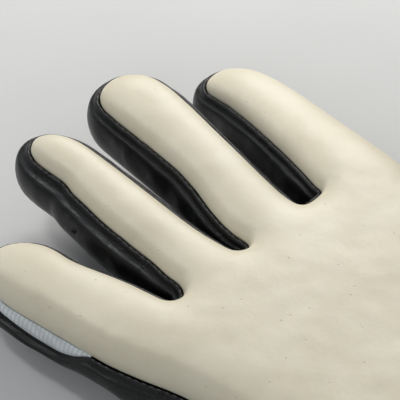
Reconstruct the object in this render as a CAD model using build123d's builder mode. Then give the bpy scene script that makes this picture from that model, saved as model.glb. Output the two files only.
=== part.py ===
from build123d import *
import os
from math import sin, cos, tan, radians, hypot

# Right-hand goalkeeper glove, lying palm up on its backhand.
# +X thumb side, +Y towards the middle fingertip, +Z out of the palm.
# Design numbers are measured from the seam level (where the palm foam meets
# the finger gussets) at the middle finger crotches; the planes below carry
# them to the row frame, whose origin is under the middle of the glove.

# ---------------------------------------------------------------- frame
OX, OY, OZ = -5.861, 56.881, 30.50   # row frame position of the design origin

# ---------------------------------------------------------------- driving sizes
CROWN = 5.5            # top of the latex over the seam level, on fingers
PALM_CROWN = 6.2       # same on the palm
LATEX_UNDER = 1.0      # latex and backing below the seam level
WALL = 2.4             # gusset and side wall thickness
WALL_TOP = -1.0        # top edge of the gussets, under the latex
LANDING = 0.6          # how far the walls reach in under the latex
STALL_BACK_IN = -14.8  # inner face of a finger's back
STALL_BACK_OUT = -19.0 # outer face of a finger's back, middle
PALM_BACK_IN = -22.0   # inner face of the backhand
PANEL_TOP = -26.0      # backhand panel, inner face
PANEL_BOTTOM = -28.2   # backhand panel, outer face
REST = -30.5           # outer face of the punch pad and of the wrist band
HINGE_Z = -3.5         # height of the finger crease axes
GAP = 0.35             # half the gap between two segments at the axis
ROOT_FLEX, ROOT_EXT = 70.0, 8.0
MID_FLEX, MID_EXT = 80.0, 3.0
THUMB_ROOT_FLEX, THUMB_MID_FLEX = 45.0, 60.0
WRIST_Y = -110.0       # end of the palm, start of the cuff
CUFF_MID_Y = -152.0    # end of the straight part of the cuff
HEM_Y = -178.0         # end of the cuff
CUFF_X = -9.0          # middle of the cuff

# root: crotch level centre; lean: degrees towards +X; tilt: degrees up;
# half: half width of the latex at the root and at the tip; length to the tip;
# creases: distance of the two crease axes from the root
FINGERS = {
    "index":  dict(root=(32.0, 0.0), lean=5.0, tilt=-7.3, half=(14.2, 10.0), length=70.0, creases=(12.0, 38.0)),
    "middle": dict(root=(-4.5, 0.0), lean=5.0, tilt=4.0, half=(11.7, 11.0), length=83.0, creases=(12.0, 43.0)),
    "ring":   dict(root=(-32.0, 0.0), lean=-2.5, tilt=2.9, half=(9.8, 8.8), length=80.0, creases=(12.0, 42.0)),
    "little": dict(root=(-62.5, 0.0), lean=-12.0, tilt=-4.6, half=(13.2, 10.4), length=59.0, creases=(12.0, 35.0)),
    "thumb":  dict(root=(24.0, -72.0), lean=47.6, tilt=-4.0, half=(15.0, 12.5), length=92.0, creases=(24.0, 54.0)),
}

# palm outline at the seam level, from the little-finger side of the wrist round to the thumb side
ULNAR = [(-50.0, WRIST_Y), (-53.5, -95.0), (-58.5, -70.0), (-63.0, -45.0), (-67.5, -24.0), (-72.5, -10.0), (-75.4, 0.0)]
RADIAL = [(46.2, 0.0), (46.0, -12.0), (40.5, -25.0), (31.0, -35.5), (22.0, -44.0)]
THENAR = [(42.0, -77.5), (36.0, -92.0), (33.0, WRIST_Y)]
PALM = ULNAR + RADIAL + THENAR


# ---------------------------------------------------------------- planes
def level(h):
    return Plane(origin=(OX, OY, OZ + h))


def axes_of(f):
    a, t = radians(f["lean"]), radians(f["tilt"])
    across = Vector(cos(a), -sin(a), 0)
    along = Vector(sin(a) * cos(t), cos(a) * cos(t), sin(t))
    return across, along, across.cross(along)


def finger_level(f, h):
    across, along, up = axes_of(f)
    o = Vector(OX + f["root"][0], OY + f["root"][1], OZ)
    return Plane(origin=o + up * h, x_dir=across, z_dir=up)


def finger_side(f):
    across, along, up = axes_of(f)
    o = Vector(OX + f["root"][0], OY + f["root"][1], OZ)
    return Plane(origin=o, x_dir=along, z_dir=across)


def finger_section(f):
    across, along, up = axes_of(f)
    o = Vector(OX + f["root"][0], OY + f["root"][1], OZ)
    return Plane(origin=o, x_dir=across, z_dir=along * -1)


# ---------------------------------------------------------------- outlines
def half_at(f, y):
    return f["half"][0] + (f["half"][1] - f["half"][0]) * y / f["length"]


def stall(f, y0, y1, grow=0.0):
    """Outline of a stretch of finger; y1 None runs to the rounded tip."""
    with BuildLine() as edge:
        if y1 is None:
            yt = f["length"] - 1.05 * f["half"][1]
            wt = half_at(f, yt) + grow
            w0 = half_at(f, y0) + grow
            Polyline((-wt, yt), (-w0, y0), (w0, y0), (wt, yt))
            ThreePointArc((wt, yt), (0, f["length"] + grow), (-wt, yt))
        else:
            w0, w1 = half_at(f, y0) + grow, half_at(f, y1) + grow
            Polyline((-w0, y0), (w0, y0), (w1, y1), (-w1, y1), close=True)
    make_face(edge.edges())


def shifted(points, d):
    """An open run of points moved d to its left (mitred)."""
    out = []
    for i, p in enumerate(points):
        ns = []
        for a, b in ((i - 1, i), (i, i + 1)):
            if a >= 0 and b < len(points):
                dx, dy = points[b][0] - points[a][0], points[b][1] - points[a][1]
                n = hypot(dx, dy)
                ns.append((-dy / n, dx / n))
        mx, my = sum(n[0] for n in ns) / len(ns), sum(n[1] for n in ns) / len(ns)
        k = mx * mx + my * my
        out.append((p[0] + d * mx / k, p[1] + d * my / k))
    return out


def band(points, d0, d1):
    """Face between two shifted copies of an open run of points."""
    polygon(shifted(points, d0) + shifted(points, d1)[::-1])


def polygon(points):
    Polygon(*points, align=None)


def between_creases(f, start, end, flex, ext):
    """Side profile of a segment, cut in a V at each crease so that it can fold."""
    zt, zb = 16.0, -32.0
    left = [(start if start is not None else -200.0, zt), (start if start is not None else -200.0, zb)]
    right = [(300.0, zb), (300.0, zt)]
    if start is not None and flex[0] is not None:
        a, b = tan(radians(flex[0] / 2 + 1.5)), tan(radians(ext[0] / 2 + 1.2))
        left = [(start + GAP + (zt - HINGE_Z) * a, zt), (start + GAP, HINGE_Z), (start + GAP + (HINGE_Z - zb) * b, zb)]
    if end is not None:
        a, b = tan(radians(flex[1] / 2 + 1.5)), tan(radians(ext[1] / 2 + 1.2))
        right = [(end - GAP - (HINGE_Z - zb) * b, zb), (end - GAP, HINGE_Z), (end - GAP - (zt - HINGE_Z) * a, zt)]
    polygon(left + right)


def flexes(name):
    if name == "thumb":
        return (THUMB_ROOT_FLEX, THUMB_MID_FLEX), (5.0, 3.0)
    return (ROOT_FLEX, MID_FLEX), (ROOT_EXT, MID_EXT)


def trim_segment(name, part_no):
    """Keep only the stretch of one segment: 0 stub on the palm, 1 base, 2 tip."""
    f = FINGERS[name]
    c0, c1 = f["creases"]
    (fr, fm), (er, em) = flexes(name)
    with BuildSketch(finger_side(f)) as profile:
        if part_no == 0:
            between_creases(f, None, c0, (None, fr), (None, er))
        elif part_no == 1:
            between_creases(f, c0, c1, (fr, fm), (er, em))
        else:
            between_creases(f, c1, None, (fm, None), (em, None))
    extrude(profile.sketch, amount=60, both=True, mode=Mode.INTERSECT)


def crown_section(f, top, side, bottom, reach):
    """Cross-section with an arched top, reach wide each way."""
    with BuildSketch(finger_section(f)) as section:
        with BuildLine():
            Polyline((reach, side), (reach, bottom), (-reach, bottom), (-reach, side))
            ThreePointArc((-reach, side), (0, top), (reach, side))
        make_face()
    extrude(section.sketch, amount=400, both=True, mode=Mode.INTERSECT)


def keel_section(f, inner, side, bottom, reach):
    """Cross-section with a flat inner face and an arched underside."""
    with BuildSketch(finger_section(f)) as section:
        with BuildLine():
            Polyline((reach, side), (reach, inner), (-reach, inner), (-reach, side))
            ThreePointArc((-reach, side), (0, bottom), (reach, side))
        make_face()
    extrude(section.sketch, amount=400, both=True, mode=Mode.INTERSECT)


# ---------------------------------------------------------------- finger pieces
def segment_span(f, part_no):
    c0, c1 = f["creases"]
    return {0: (-6.0, c0), 1: (c0, c1), 2: (c1, None)}[part_no]


def finger_latex(name, part_no):
    f = FINGERS[name]
    y0, y1 = segment_span(f, part_no)
    with BuildPart() as latex:
        with BuildSketch(finger_level(f, -LATEX_UNDER)):
            stall(f, y0, y1)
        extrude(amount=CROWN + LATEX_UNDER + 1)
        crown_section(f, CROWN, 0.6, -LATEX_UNDER - 1, f["half"][0] + 0.4)
        trim_segment(name, part_no)
    return latex


def finger_walls(name, part_no, keep=None):
    """Side walls, with the wall round the tip on the last segment.
    keep cuts them to a region drawn in the finger's own plane."""
    f = FINGERS[name]
    y0, y1 = segment_span(f, part_no)
    with BuildPart() as walls:
        with BuildSketch(finger_level(f, STALL_BACK_IN)):
            stall(f, y0, y1, WALL)
        extrude(amount=WALL_TOP - STALL_BACK_IN)
        with BuildSketch(finger_level(f, STALL_BACK_IN)):
            stall(f, y0, y1, -LANDING)
        extrude(amount=WALL_TOP - STALL_BACK_IN, mode=Mode.SUBTRACT)
        if keep:
            with BuildSketch(finger_level(f, -40)):
                polygon(keep)
            extrude(amount=80, mode=Mode.INTERSECT)
        trim_segment(name, part_no)
    return walls


def finger_back(name, part_no):
    f = FINGERS[name]
    y0, y1 = segment_span(f, part_no)
    with BuildPart() as back:
        with BuildSketch(finger_level(f, STALL_BACK_OUT - 1)):
            stall(f, y0, y1, WALL)
        extrude(amount=STALL_BACK_IN - STALL_BACK_OUT + 1)
        keel_section(f, STALL_BACK_IN, STALL_BACK_IN - 1.6, STALL_BACK_OUT, f["half"][0] + WALL + 0.4)
        trim_segment(name, part_no)
    return back


made = {}


def save(name, built):
    built.part.label = name
    export_step(built.part, "parts/" + name + ".step")
    made[name] = built


for finger in ("index", "middle", "ring", "little", "thumb"):
    f = FINGERS[finger]
    for part_no, where in ((1, "base"), (2, "tip")):
        save(f"{finger}_{where}_latex", finger_latex(finger, part_no))
        save(f"{finger}_{where}_back", finger_back(finger, part_no))
        if finger == "little":
            # the outer side has a panel of its own; the gusset is on the inner side and round the tip
            yt = f["length"] - 1.05 * f["half"][1]
            inner = [(-4, -50), (60, -50), (60, 120), (-60, 120), (-60, yt), (-4, yt)]
            outer = [(-60, -50), (-4, -50), (-4, yt), (-60, yt)]
            save(f"{finger}_{where}_gusset", finger_walls(finger, part_no, inner))
            save(f"{finger}_{where}_side_panel", finger_walls(finger, part_no, outer))
        else:
            save(f"{finger}_{where}_gusset", finger_walls(finger, part_no))

# ---------------------------------------------------------------- palm latex
# One sheet of foam over the palm, with the stubs of the four fingers and the thumb.
with BuildPart() as palm_latex:
    with BuildSketch(level(-LATEX_UNDER)):
        polygon(PALM)
    extrude(amount=PALM_CROWN + LATEX_UNDER)
    rim = palm_latex.faces().sort_by(Axis.Z)[-1].edges()
    chamfer(rim, length=2.6, length2=2.6)
    for finger in FINGERS:
        add(finger_latex(finger, 0).part)
save("palm_latex", palm_latex)

# ---------------------------------------------------------------- palm lining
with BuildPart() as palm_lining:
    with BuildSketch(level(-LATEX_UNDER - 1.4)):
        polygon([(-48.5, WRIST_Y), (-52.0, -95.0), (-57.0, -70.0), (-61.5, -45.0), (-66.0, -24.0), (-71.0, -10.0),
                 (-72.0, -6.5), (44.6, -6.5), (44.4, -12.0), (39.0, -24.6), (29.2, -35.0), (18.6, -44.0),
                 (18.6, -60.0), (29.0, -80.0), (31.5, -92.0), (31.5, WRIST_Y)])
    extrude(amount=0.7)
save("palm_lining", palm_lining)

# ---------------------------------------------------------------- backhand
BACK_PROFILE = [(WRIST_Y, PANEL_BOTTOM), (-15.0, PANEL_BOTTOM), (-1.0, -19.2), (-1.0, -15.2),
                (-2.5, -15.2), (-16.0, PANEL_TOP), (WRIST_Y, PANEL_TOP)]
ABOVE_BACK = [(WRIST_Y, 20), (WRIST_Y, PANEL_TOP), (-16.0, PANEL_TOP), (-2.5, -14.6), (60, -14.6), (60, 20)]
OUTER = shifted(ULNAR, WALL) + shifted(RADIAL, WALL) + [(24.6, -47.5), (44.0, -78.5), (38.4, -92.0), (35.4, WRIST_Y)]


def side_of_hand():
    return Plane(origin=(OX, OY, OZ), x_dir=(0, 1, 0), z_dir=(1, 0, 0))




def back_stub(name):
    """A finger's back from the palm's back edge to the first crease."""
    with BuildPart() as stub:
        add(finger_back(name, 0).part)
        with BuildSketch(level(-60)):
            Rectangle(400, 100, align=(Align.CENTER, Align.MIN))
        extrude(amount=120, mode=Mode.INTERSECT)
        # short bridge from the ramp to the finger's back
        with BuildSketch(finger_side(FINGERS[name])):
            polygon([(-2.4, -18.8), (3.0, -18.8), (3.0, -15.4), (-2.4, -15.4)])
        extrude(amount=FINGERS[name]["half"][0], both=True)
    return stub


with BuildPart() as backhand_panel:
    with BuildSketch(side_of_hand()):
        polygon(BACK_PROFILE)
    extrude(amount=150, both=True)
    with BuildSketch(level(-60)):
        polygon(OUTER)
    extrude(amount=120, mode=Mode.INTERSECT)
    for finger in ("index", "middle", "ring", "little"):
        add(back_stub(finger).part)
save("backhand_panel", backhand_panel)

INNER = [(-49.2, WRIST_Y), (-52.7, -95.0), (-57.7, -70.0), (-62.2, -45.0), (-66.7, -24.0), (-68.6, -18.0),
         (42.2, -18.0), (38.8, -25.5), (29.0, -36.0), (18.8, -45.8), (19.4, -52.0), (38.6, -77.6),
         (34.6, -92.0), (31.8, WRIST_Y)]

with BuildPart() as backhand_foam:
    with BuildSketch(level(PANEL_TOP)):
        polygon(INNER)
    extrude(amount=2.8)
save("backhand_foam", backhand_foam)

with BuildPart() as backhand_lining:
    with BuildSketch(level(PANEL_TOP + 2.8)):
        polygon(INNER)
    extrude(amount=0.8)
save("backhand_lining", backhand_lining)

# punch pad: three raised bars of foam over the knuckles, joined by a thin base
with BuildPart() as punch_pad:
    with BuildSketch(level(REST)):
        polygon([(-60.0, -50.0), (-64.0, -24.0), (-40.0, -17.5), (20.0, -17.5), (38.0, -24.0), (30.0, -48.0), (-15.0, -56.0)])
    extrude(amount=PANEL_BOTTOM - REST)
    chamfer(punch_pad.faces().sort_by(Axis.Z)[0].edges(), length=1.0)
    with BuildSketch(level(REST)):
        for x in (-42.0, -19.0, 4.0):
            polygon([(x - 1.2, -70.0), (x + 1.2, -70.0), (x + 1.2 - 0.02 * 60, -10.0), (x - 1.2 - 0.02 * 60, -10.0)])
    extrude(amount=1.1, mode=Mode.SUBTRACT)
save("punch_pad", punch_pad)

# ---------------------------------------------------------------- side walls of the palm
def side_wall(points, z0, z1):
    with BuildPart() as wall:
        with BuildSketch(level(z0)):
            band(points, -LANDING, WALL)
        extrude(amount=z1 - z0)
        with BuildSketch(side_of_hand()):
            polygon(ABOVE_BACK)
        extrude(amount=150, both=True, mode=Mode.INTERSECT)
    return wall


def finger_wall_stub(name, left, y_from):
    """Side wall of a finger from the palm to its first crease, on one side."""
    f = FINGERS[name]
    s = -1 if left else 1
    with BuildPart() as wall:
        add(finger_walls(name, 0).part)
        with BuildSketch(finger_level(f, -60)):
            polygon([(0, y_from), (s * 40, y_from), (s * 40, 60), (0, 60)])
        extrude(amount=120, mode=Mode.INTERSECT)
    return wall


# little-finger side: a pale strip above, the black panel below it
with BuildPart() as little_side_strip:
    add(side_wall([(-68.1, -22.3)] + ULNAR[5:], -10.5, WALL_TOP).part)
    add(finger_wall_stub("little", True, 0.3).part)
    with BuildSketch(level(-10.5)):
        Rectangle(400, 400)
    extrude(amount=60, mode=Mode.INTERSECT)
save("little_side_strip", little_side_strip)

with BuildPart() as little_stub_low:
    add(finger_wall_stub("little", True, 0.3).part)
    with BuildSketch(level(-10.5)):
        Rectangle(400, 400)
    extrude(amount=-60, mode=Mode.INTERSECT)

with BuildPart() as little_side_panel:
    add(side_wall(ULNAR[:5], PANEL_TOP, WALL_TOP).part)
    add(side_wall(ULNAR[4:], PANEL_TOP, -10.5).part)
    add(little_stub_low.part)
save("little_side_panel", little_side_panel)

with BuildPart() as index_side_panel:
    add(side_wall(RADIAL, PANEL_TOP, WALL_TOP).part)
    add(finger_wall_stub("index", False, 0.3).part)
save("index_side_panel", index_side_panel)


# ---------------------------------------------------------------- crotch gussets
def edge_point(name, left, y, grow=0.0):
    """A point of a finger's edge in design X and Y."""
    f = FINGERS[name]
    across, along, up = axes_of(f)
    s = (-1 if left else 1) * (half_at(f, y) + grow)
    return (f["root"][0] + across.X * s + along.X * y, f["root"][1] + across.Y * s + along.Y * y)


def crotch(left_finger, right_finger):
    """The U between two fingers: both side walls and the floor of the U."""
    a = edge_point(left_finger, False, 0.0)
    b = edge_point(right_finger, True, 0.0)
    with BuildPart() as u:
        add(finger_wall_stub(left_finger, False, 0.6).part)
        add(finger_wall_stub(right_finger, True, 0.6).part)
        with BuildSketch(level(STALL_BACK_IN)):
            polygon([(a[0], 0.05), (b[0], 0.05), (b[0], WALL), (a[0], WALL)])
        extrude(amount=WALL_TOP - STALL_BACK_IN)
    return u


save("crotch_gusset_ring_little", crotch("little", "ring"))
save("crotch_gusset_middle_ring", crotch("ring", "middle"))
save("crotch_gusset_index_middle", crotch("middle", "index"))

WEB_FLOOR = [(21.5, -43.9), (23.6, -46.0), (22.9, -48.4), (21.9, -50.2), (20.8, -51.6), (19.7, -50.6), (19.9, -46.0)]

with BuildPart() as thumb_web_gusset:
    add(finger_wall_stub("thumb", True, 12.0).part)
    with BuildSketch(level(PANEL_TOP)):
        polygon(WEB_FLOOR)
    extrude(amount=WALL_TOP - 0.4 - PANEL_TOP)
save("thumb_web_gusset", thumb_web_gusset)

with BuildPart() as thumb_side_panel:
    add(finger_wall_stub("thumb", False, 8.0).part)
    add(side_wall(THENAR, PANEL_TOP, WALL_TOP).part)
    with BuildSketch(level(PANEL_TOP)):
        band([(24.4, -51.5), (42.0, -77.5)], 0.0, WALL)
    extrude(amount=-20.6 - PANEL_TOP)
save("thumb_side_panel", thumb_side_panel)

with BuildPart() as thumb_root_back:
    add(finger_back("thumb", 0).part)
    with BuildSketch(finger_level(FINGERS["thumb"], -60)):
        polygon([(-40, 10.5), (40, 10.5), (40, 60), (-40, 60)])
    extrude(amount=120, mode=Mode.INTERSECT)
save("thumb_root_back", thumb_root_back)

# ---------------------------------------------------------------- cuff
# A padded tube open at both ends, split down the palm side by a V that lets the hand in.
CUFF_W, CUFF_TOP, CUFF_BOTTOM, CUFF_WALL = 84.0, 6.0, -28.2, 4.0
HEM_W, HEM_TOP, HEM_BOTTOM = 96.0, 8.0, -30.3
SPLIT_Z = -11.0


def across_wrist(y):
    return Plane(origin=(OX + CUFF_X, OY + y, OZ), x_dir=(1, 0, 0), z_dir=(0, -1, 0))


def ring(width, top, bottom, inset, radius):
    with Locations((0, (top + bottom) / 2)):
        RectangleRounded(width - 2 * inset, top - bottom - 2 * inset, radius - inset * 0.8)


with BuildPart() as cuff_tube:
    with BuildSketch(across_wrist(WRIST_Y - 0.1)):
        ring(CUFF_W, CUFF_TOP, CUFF_BOTTOM, 0, 14)
    extrude(amount=abs(CUFF_MID_Y - WRIST_Y) - 0.1)
    with BuildSketch(across_wrist(CUFF_MID_Y)):
        ring(CUFF_W, CUFF_TOP, CUFF_BOTTOM, 0, 14)
    with BuildSketch(across_wrist(HEM_Y)):
        ring(HEM_W, HEM_TOP, HEM_BOTTOM, 0, 15)
    loft()
    with BuildSketch(across_wrist(WRIST_Y - 0.1)):
        ring(CUFF_W, CUFF_TOP, CUFF_BOTTOM, CUFF_WALL, 14)
    extrude(amount=abs(CUFF_MID_Y - WRIST_Y) - 0.1, mode=Mode.SUBTRACT)
    with BuildSketch(across_wrist(CUFF_MID_Y)):
        ring(CUFF_W, CUFF_TOP, CUFF_BOTTOM, CUFF_WALL, 14)
    with BuildSketch(across_wrist(HEM_Y)):
        ring(HEM_W, HEM_TOP, HEM_BOTTOM, CUFF_WALL, 15)
    loft(mode=Mode.SUBTRACT)

with BuildPart() as cuff_back:
    add(cuff_tube.part)
    with BuildSketch(level(-60)):
        Rectangle(400, 600)
    extrude(amount=60 + SPLIT_Z, mode=Mode.INTERSECT)
save("cuff_back", cuff_back)

SLIT_TOP_Y, SLIT_HALF_TOP, SLIT_HALF_HEM = -122.0, 3.0, 11.0


def cuff_half(side):
    """Palm side of the cuff on one side of the slit: -1 little-finger side, 1 thumb side."""
    with BuildPart() as half:
        add(cuff_tube.part)
        with BuildSketch(level(SPLIT_Z)):
            x0 = CUFF_X + side * SLIT_HALF_TOP
            x1 = CUFF_X + side * SLIT_HALF_HEM
            far = CUFF_X + side * 80
            if side < 0:
                polygon([(CUFF_X - 0.01, -100), (CUFF_X - 0.01, SLIT_TOP_Y), (x0, SLIT_TOP_Y), (x1, HEM_Y - 5), (far, HEM_Y - 5), (far, -100)])
            else:
                polygon([(CUFF_X + 0.01, -100), (CUFF_X + 0.01, SLIT_TOP_Y), (x0, SLIT_TOP_Y), (x1, HEM_Y - 5), (far, HEM_Y - 5), (far, -100)])
        extrude(amount=40, mode=Mode.INTERSECT)
    return half


save("cuff_palm_little_side", cuff_half(-1))
save("cuff_palm_thumb_side", cuff_half(1))

with BuildPart() as slit_elastic:
    with BuildSketch(level(CUFF_TOP - 3.2)):
        polygon([(CUFF_X - SLIT_HALF_TOP + 0.1, SLIT_TOP_Y - 0.2), (CUFF_X + SLIT_HALF_TOP - 0.1, SLIT_TOP_Y - 0.2),
                 (CUFF_X + 7.0, -158.0), (CUFF_X - 7.0, -158.0)])
    extrude(amount=1.6)
save("slit_elastic", slit_elastic)

with BuildPart() as cuff_binding:
    with BuildSketch(across_wrist(HEM_Y)):
        ring(HEM_W, HEM_TOP, HEM_BOTTOM, 0.0, 15)
        ring_in = (HEM_W, HEM_TOP, HEM_BOTTOM, CUFF_WALL, 15)
    extrude(amount=2.4)
    with BuildSketch(across_wrist(HEM_Y)):
        ring(*ring_in)
    extrude(amount=2.4, mode=Mode.SUBTRACT)
    with BuildSketch(level(SPLIT_Z)):
        polygon([(CUFF_X - SLIT_HALF_HEM, HEM_Y - 30), (CUFF_X + SLIT_HALF_HEM, HEM_Y - 30),
                 (CUFF_X + SLIT_HALF_HEM, HEM_Y + 30), (CUFF_X - SLIT_HALF_HEM, HEM_Y + 30)])
    extrude(amount=60, mode=Mode.SUBTRACT)
save("cuff_binding", cuff_binding)

# ---------------------------------------------------------------- strap
BAND_Y0, BAND_Y1 = -148.0, -118.0
BAND_T = 2.3
FLAP_HINGE_X, FLAP_HINGE_Z = 22.5, 9.6

with BuildPart() as strap_band:
    with BuildSketch(across_wrist(BAND_Y1)):
        with Locations((0, (CUFF_TOP + CUFF_BOTTOM) / 2)):
            RectangleRounded(CUFF_W + 2 * BAND_T, CUFF_TOP - CUFF_BOTTOM + 2 * BAND_T, 14 + BAND_T)
            RectangleRounded(CUFF_W, CUFF_TOP - CUFF_BOTTOM, 14, mode=Mode.SUBTRACT)
    extrude(amount=BAND_Y1 - BAND_Y0)
    with BuildSketch(level(-6.0)):
        polygon([(-150, -200), (-150, 0), (FLAP_HINGE_X + 0.6, 0), (FLAP_HINGE_X + 0.6, -200)])
    extrude(amount=60, mode=Mode.SUBTRACT)
save("strap_band", strap_band)

with BuildPart() as loop_patch:
    with BuildSketch(level(CUFF_TOP)):
        polygon([(-35.0, -147.0), (-12.2, -147.0), (-12.2, -119.0), (-35.0, -119.0)])
    extrude(amount=1.1)
save("loop_patch", loop_patch)

with BuildPart() as strap_flap:
    with BuildSketch(level(8.5)):
        polygon([(-30.0, -147.5), (-37.0, -142.0), (-37.0, -124.0), (-30.0, -118.5), (19.6, -118.5), (19.6, -147.5)])
    extrude(amount=2.2)
save("strap_flap", strap_flap)

with BuildPart() as hook_patch:
    with BuildSketch(level(7.4)):
        polygon([(-34.0, -145.0), (-13.0, -145.0), (-13.0, -121.0), (-34.0, -121.0)])
    extrude(amount=1.1)
save("hook_patch", hook_patch)

with BuildPart() as strap_grip:
    with BuildSketch(level(10.7)):
        polygon([(-35.5, -140.0), (-27.0, -141.5), (-27.0, -124.5), (-35.5, -126.0)])
    extrude(amount=1.4)
    chamfer(strap_grip.faces().sort_by(Axis.Z)[-1].edges(), length=0.6)
save("strap_grip", strap_grip)

# pull tab: a doubled webbing tab sewn to the outer face of the hem, on the palm side next to the slit
TAB_X, TAB_Z = -34.0, 9.2
with BuildPart() as pull_tab:
    with BuildSketch(level(TAB_Z - 1.0)):
        polygon([(TAB_X - 7.5, HEM_Y - 4.4), (TAB_X + 7.5, HEM_Y - 4.4), (TAB_X + 7.5, HEM_Y - 19.0),
                 (TAB_X + 4.5, HEM_Y - 22.0), (TAB_X - 4.5, HEM_Y - 22.0), (TAB_X - 7.5, HEM_Y - 19.0)])
    extrude(amount=2.0)
save("pull_tab", pull_tab)

lo = [min(tuple(b.part.bounding_box().min)[i] for b in made.values()) for i in range(3)]
hi = [max(tuple(b.part.bounding_box().max)[i] for b in made.values()) for i in range(3)]
print("nodes", len(made))
print("low", [round(v, 3) for v in lo], "high", [round(v, 3) for v in hi])
print("size", [round(h - l, 2) for l, h in zip(lo, hi)], "middle", [round((l + h) / 2, 3) for l, h in zip(lo, hi)])
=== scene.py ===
import bpy, math
import numpy as np
from mathutils import Vector, Matrix
from mathutils.geometry import delaunay_2d_cdt


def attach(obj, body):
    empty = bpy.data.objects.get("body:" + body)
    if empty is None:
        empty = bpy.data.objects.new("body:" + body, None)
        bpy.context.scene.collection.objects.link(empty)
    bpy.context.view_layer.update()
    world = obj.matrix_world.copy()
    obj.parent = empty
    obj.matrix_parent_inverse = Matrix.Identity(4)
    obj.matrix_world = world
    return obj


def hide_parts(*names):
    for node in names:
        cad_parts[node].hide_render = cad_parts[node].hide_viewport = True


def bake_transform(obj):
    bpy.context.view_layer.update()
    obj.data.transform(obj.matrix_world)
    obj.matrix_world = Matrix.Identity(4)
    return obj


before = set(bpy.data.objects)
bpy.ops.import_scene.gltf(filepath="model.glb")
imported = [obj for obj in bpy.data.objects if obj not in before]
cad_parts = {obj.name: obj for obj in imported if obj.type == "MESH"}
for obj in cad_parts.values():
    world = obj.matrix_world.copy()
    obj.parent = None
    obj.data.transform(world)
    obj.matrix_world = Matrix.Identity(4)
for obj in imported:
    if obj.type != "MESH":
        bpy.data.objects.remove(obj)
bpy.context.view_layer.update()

# ------------------------------------------------------------------ design frame (mm) to row frame (m)
O = np.array([-5.861, 56.881, 30.5])


def M(p):
    """Design millimetres to row metres."""
    return (np.asarray(p, float) + O) / 1000.0


FINGERS = {
    "index": dict(root=(32.0, 0.0), lean=5.0, tilt=-7.3, c=(12.0, 38.0), cut=(1.0, 25.5), z0=(0.0, 24.0), z1=(26.0, 50.0), L=70.0,
                  left=[(-12.8, 2.2), (-12.2, 7), (-11.1, 14), (-10.0, 21.5), (-9.0, 30.5), (-8.2, 39), (-7.8, 46), (-7.5, 53), (-8.0, 60)],
                  tip=[(-8.2, 64.8), (-6.6, 68.2), (-2.6, 70.2), (2.6, 69.8), (7.2, 66.4)],
                  right=[(10.4, 61.5), (12.2, 54), (13.2, 43), (13.4, 30), (13.5, 14), (13.8, 3)]),
    "middle": dict(root=(-4.5, 0.0), lean=5.0, tilt=4.0, c=(12.0, 43.0), cut=(1.0, 27.5), z0=(0.0, 24.0), z1=(31.0, 55.0), L=83.0,
                   left=[(-10.2, 2), (-11.0, 6), (-11.3, 12), (-10.7, 20), (-9.4, 28.5), (-8.9, 38), (-9.7, 47), (-10.4, 54), (-11.2, 61), (-12.1, 69.5)],
                   tip=[(-12.3, 75), (-10.6, 79.2), (-6.8, 81.8), (-1.5, 82.6), (4.0, 80.6), (8.3, 76.4)],
                   right=[(10.6, 69.5), (11.4, 58), (11.4, 44), (11.4, 30), (11.3, 16), (11.6, 8), (12.2, 3.6)]),
    "ring": dict(root=(-32.0, 0.0), lean=-2.5, tilt=2.9, c=(12.0, 42.0), cut=(1.0, 27.0), z0=(0.0, 24.0), z1=(30.0, 54.0), L=80.0,
                 left=[(-10.2, 4), (-10.0, 11), (-9.5, 18.5), (-9.5, 28.5), (-9.2, 41), (-8.4, 48.5), (-7.7, 55.5), (-6.6, 60.5), (-6.7, 65), (-6.9, 70)],
                 tip=[(-6.6, 75), (-5.0, 78.8), (-1.2, 80.9), (3.0, 79.6), (6.4, 75.6)],
                 right=[(8.6, 69.5), (9.2, 60), (9.3, 46), (9.2, 32), (9.2, 18), (9.8, 10), (10.6, 4)]),
    "little": dict(root=(-62.5, 0.0), lean=-12.0, tilt=-4.6, c=(12.0, 35.0), cut=(1.0, 23.5), z0=(0.0, 23.0), z1=(24.0, 46.0), L=59.0,
                   left=[(-13.3, 3), (-13.1, 10), (-12.4, 20), (-11.6, 31), (-10.8, 42)],
                   tip=[(-9.4, 50), (-6.2, 56), (-0.8, 59), (4.7, 57.2), (8.8, 52.4)],
                   right=[(10.8, 47), (11.1, 42), (10.2, 34.5), (10.5, 27.5), (11.2, 20), (11.6, 13), (11.6, 6), (11.7, 2)]),
    "thumb": dict(root=(24.0, -72.0), lean=47.6, tilt=-4.0, c=(24.0, 54.0), cut=(18.0, 41.0), z0=(18.0, 34.0), z1=(43.0, 65.0), L=92.0,
                  left=[(-14.5, 23), (-14.4, 34), (-14.2, 48), (-13.8, 62)],
                  tip=[(-12.9, 74), (-10.6, 84), (-6, 90), (0, 92), (6, 90), (10.6, 84), (13, 74)],
                  right=[(14, 62), (14.5, 48), (15, 34), (15.4, 20), (15.6, 10)]),
}
ORDER = ["little", "ring", "middle", "index", "thumb"]


def axes2(f):
    a = math.radians(f["lean"])
    return np.array([math.cos(a), -math.sin(a)]), np.array([math.sin(a), math.cos(a)])


def to_flat(f, x, y):
    ac, al = axes2(f)
    return np.array(f["root"]) + ac * x + al * y


def local(f, p):
    ac, al = axes2(f)
    d = np.asarray(p, float) - np.array(f["root"])
    return d @ ac, d @ al


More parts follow.
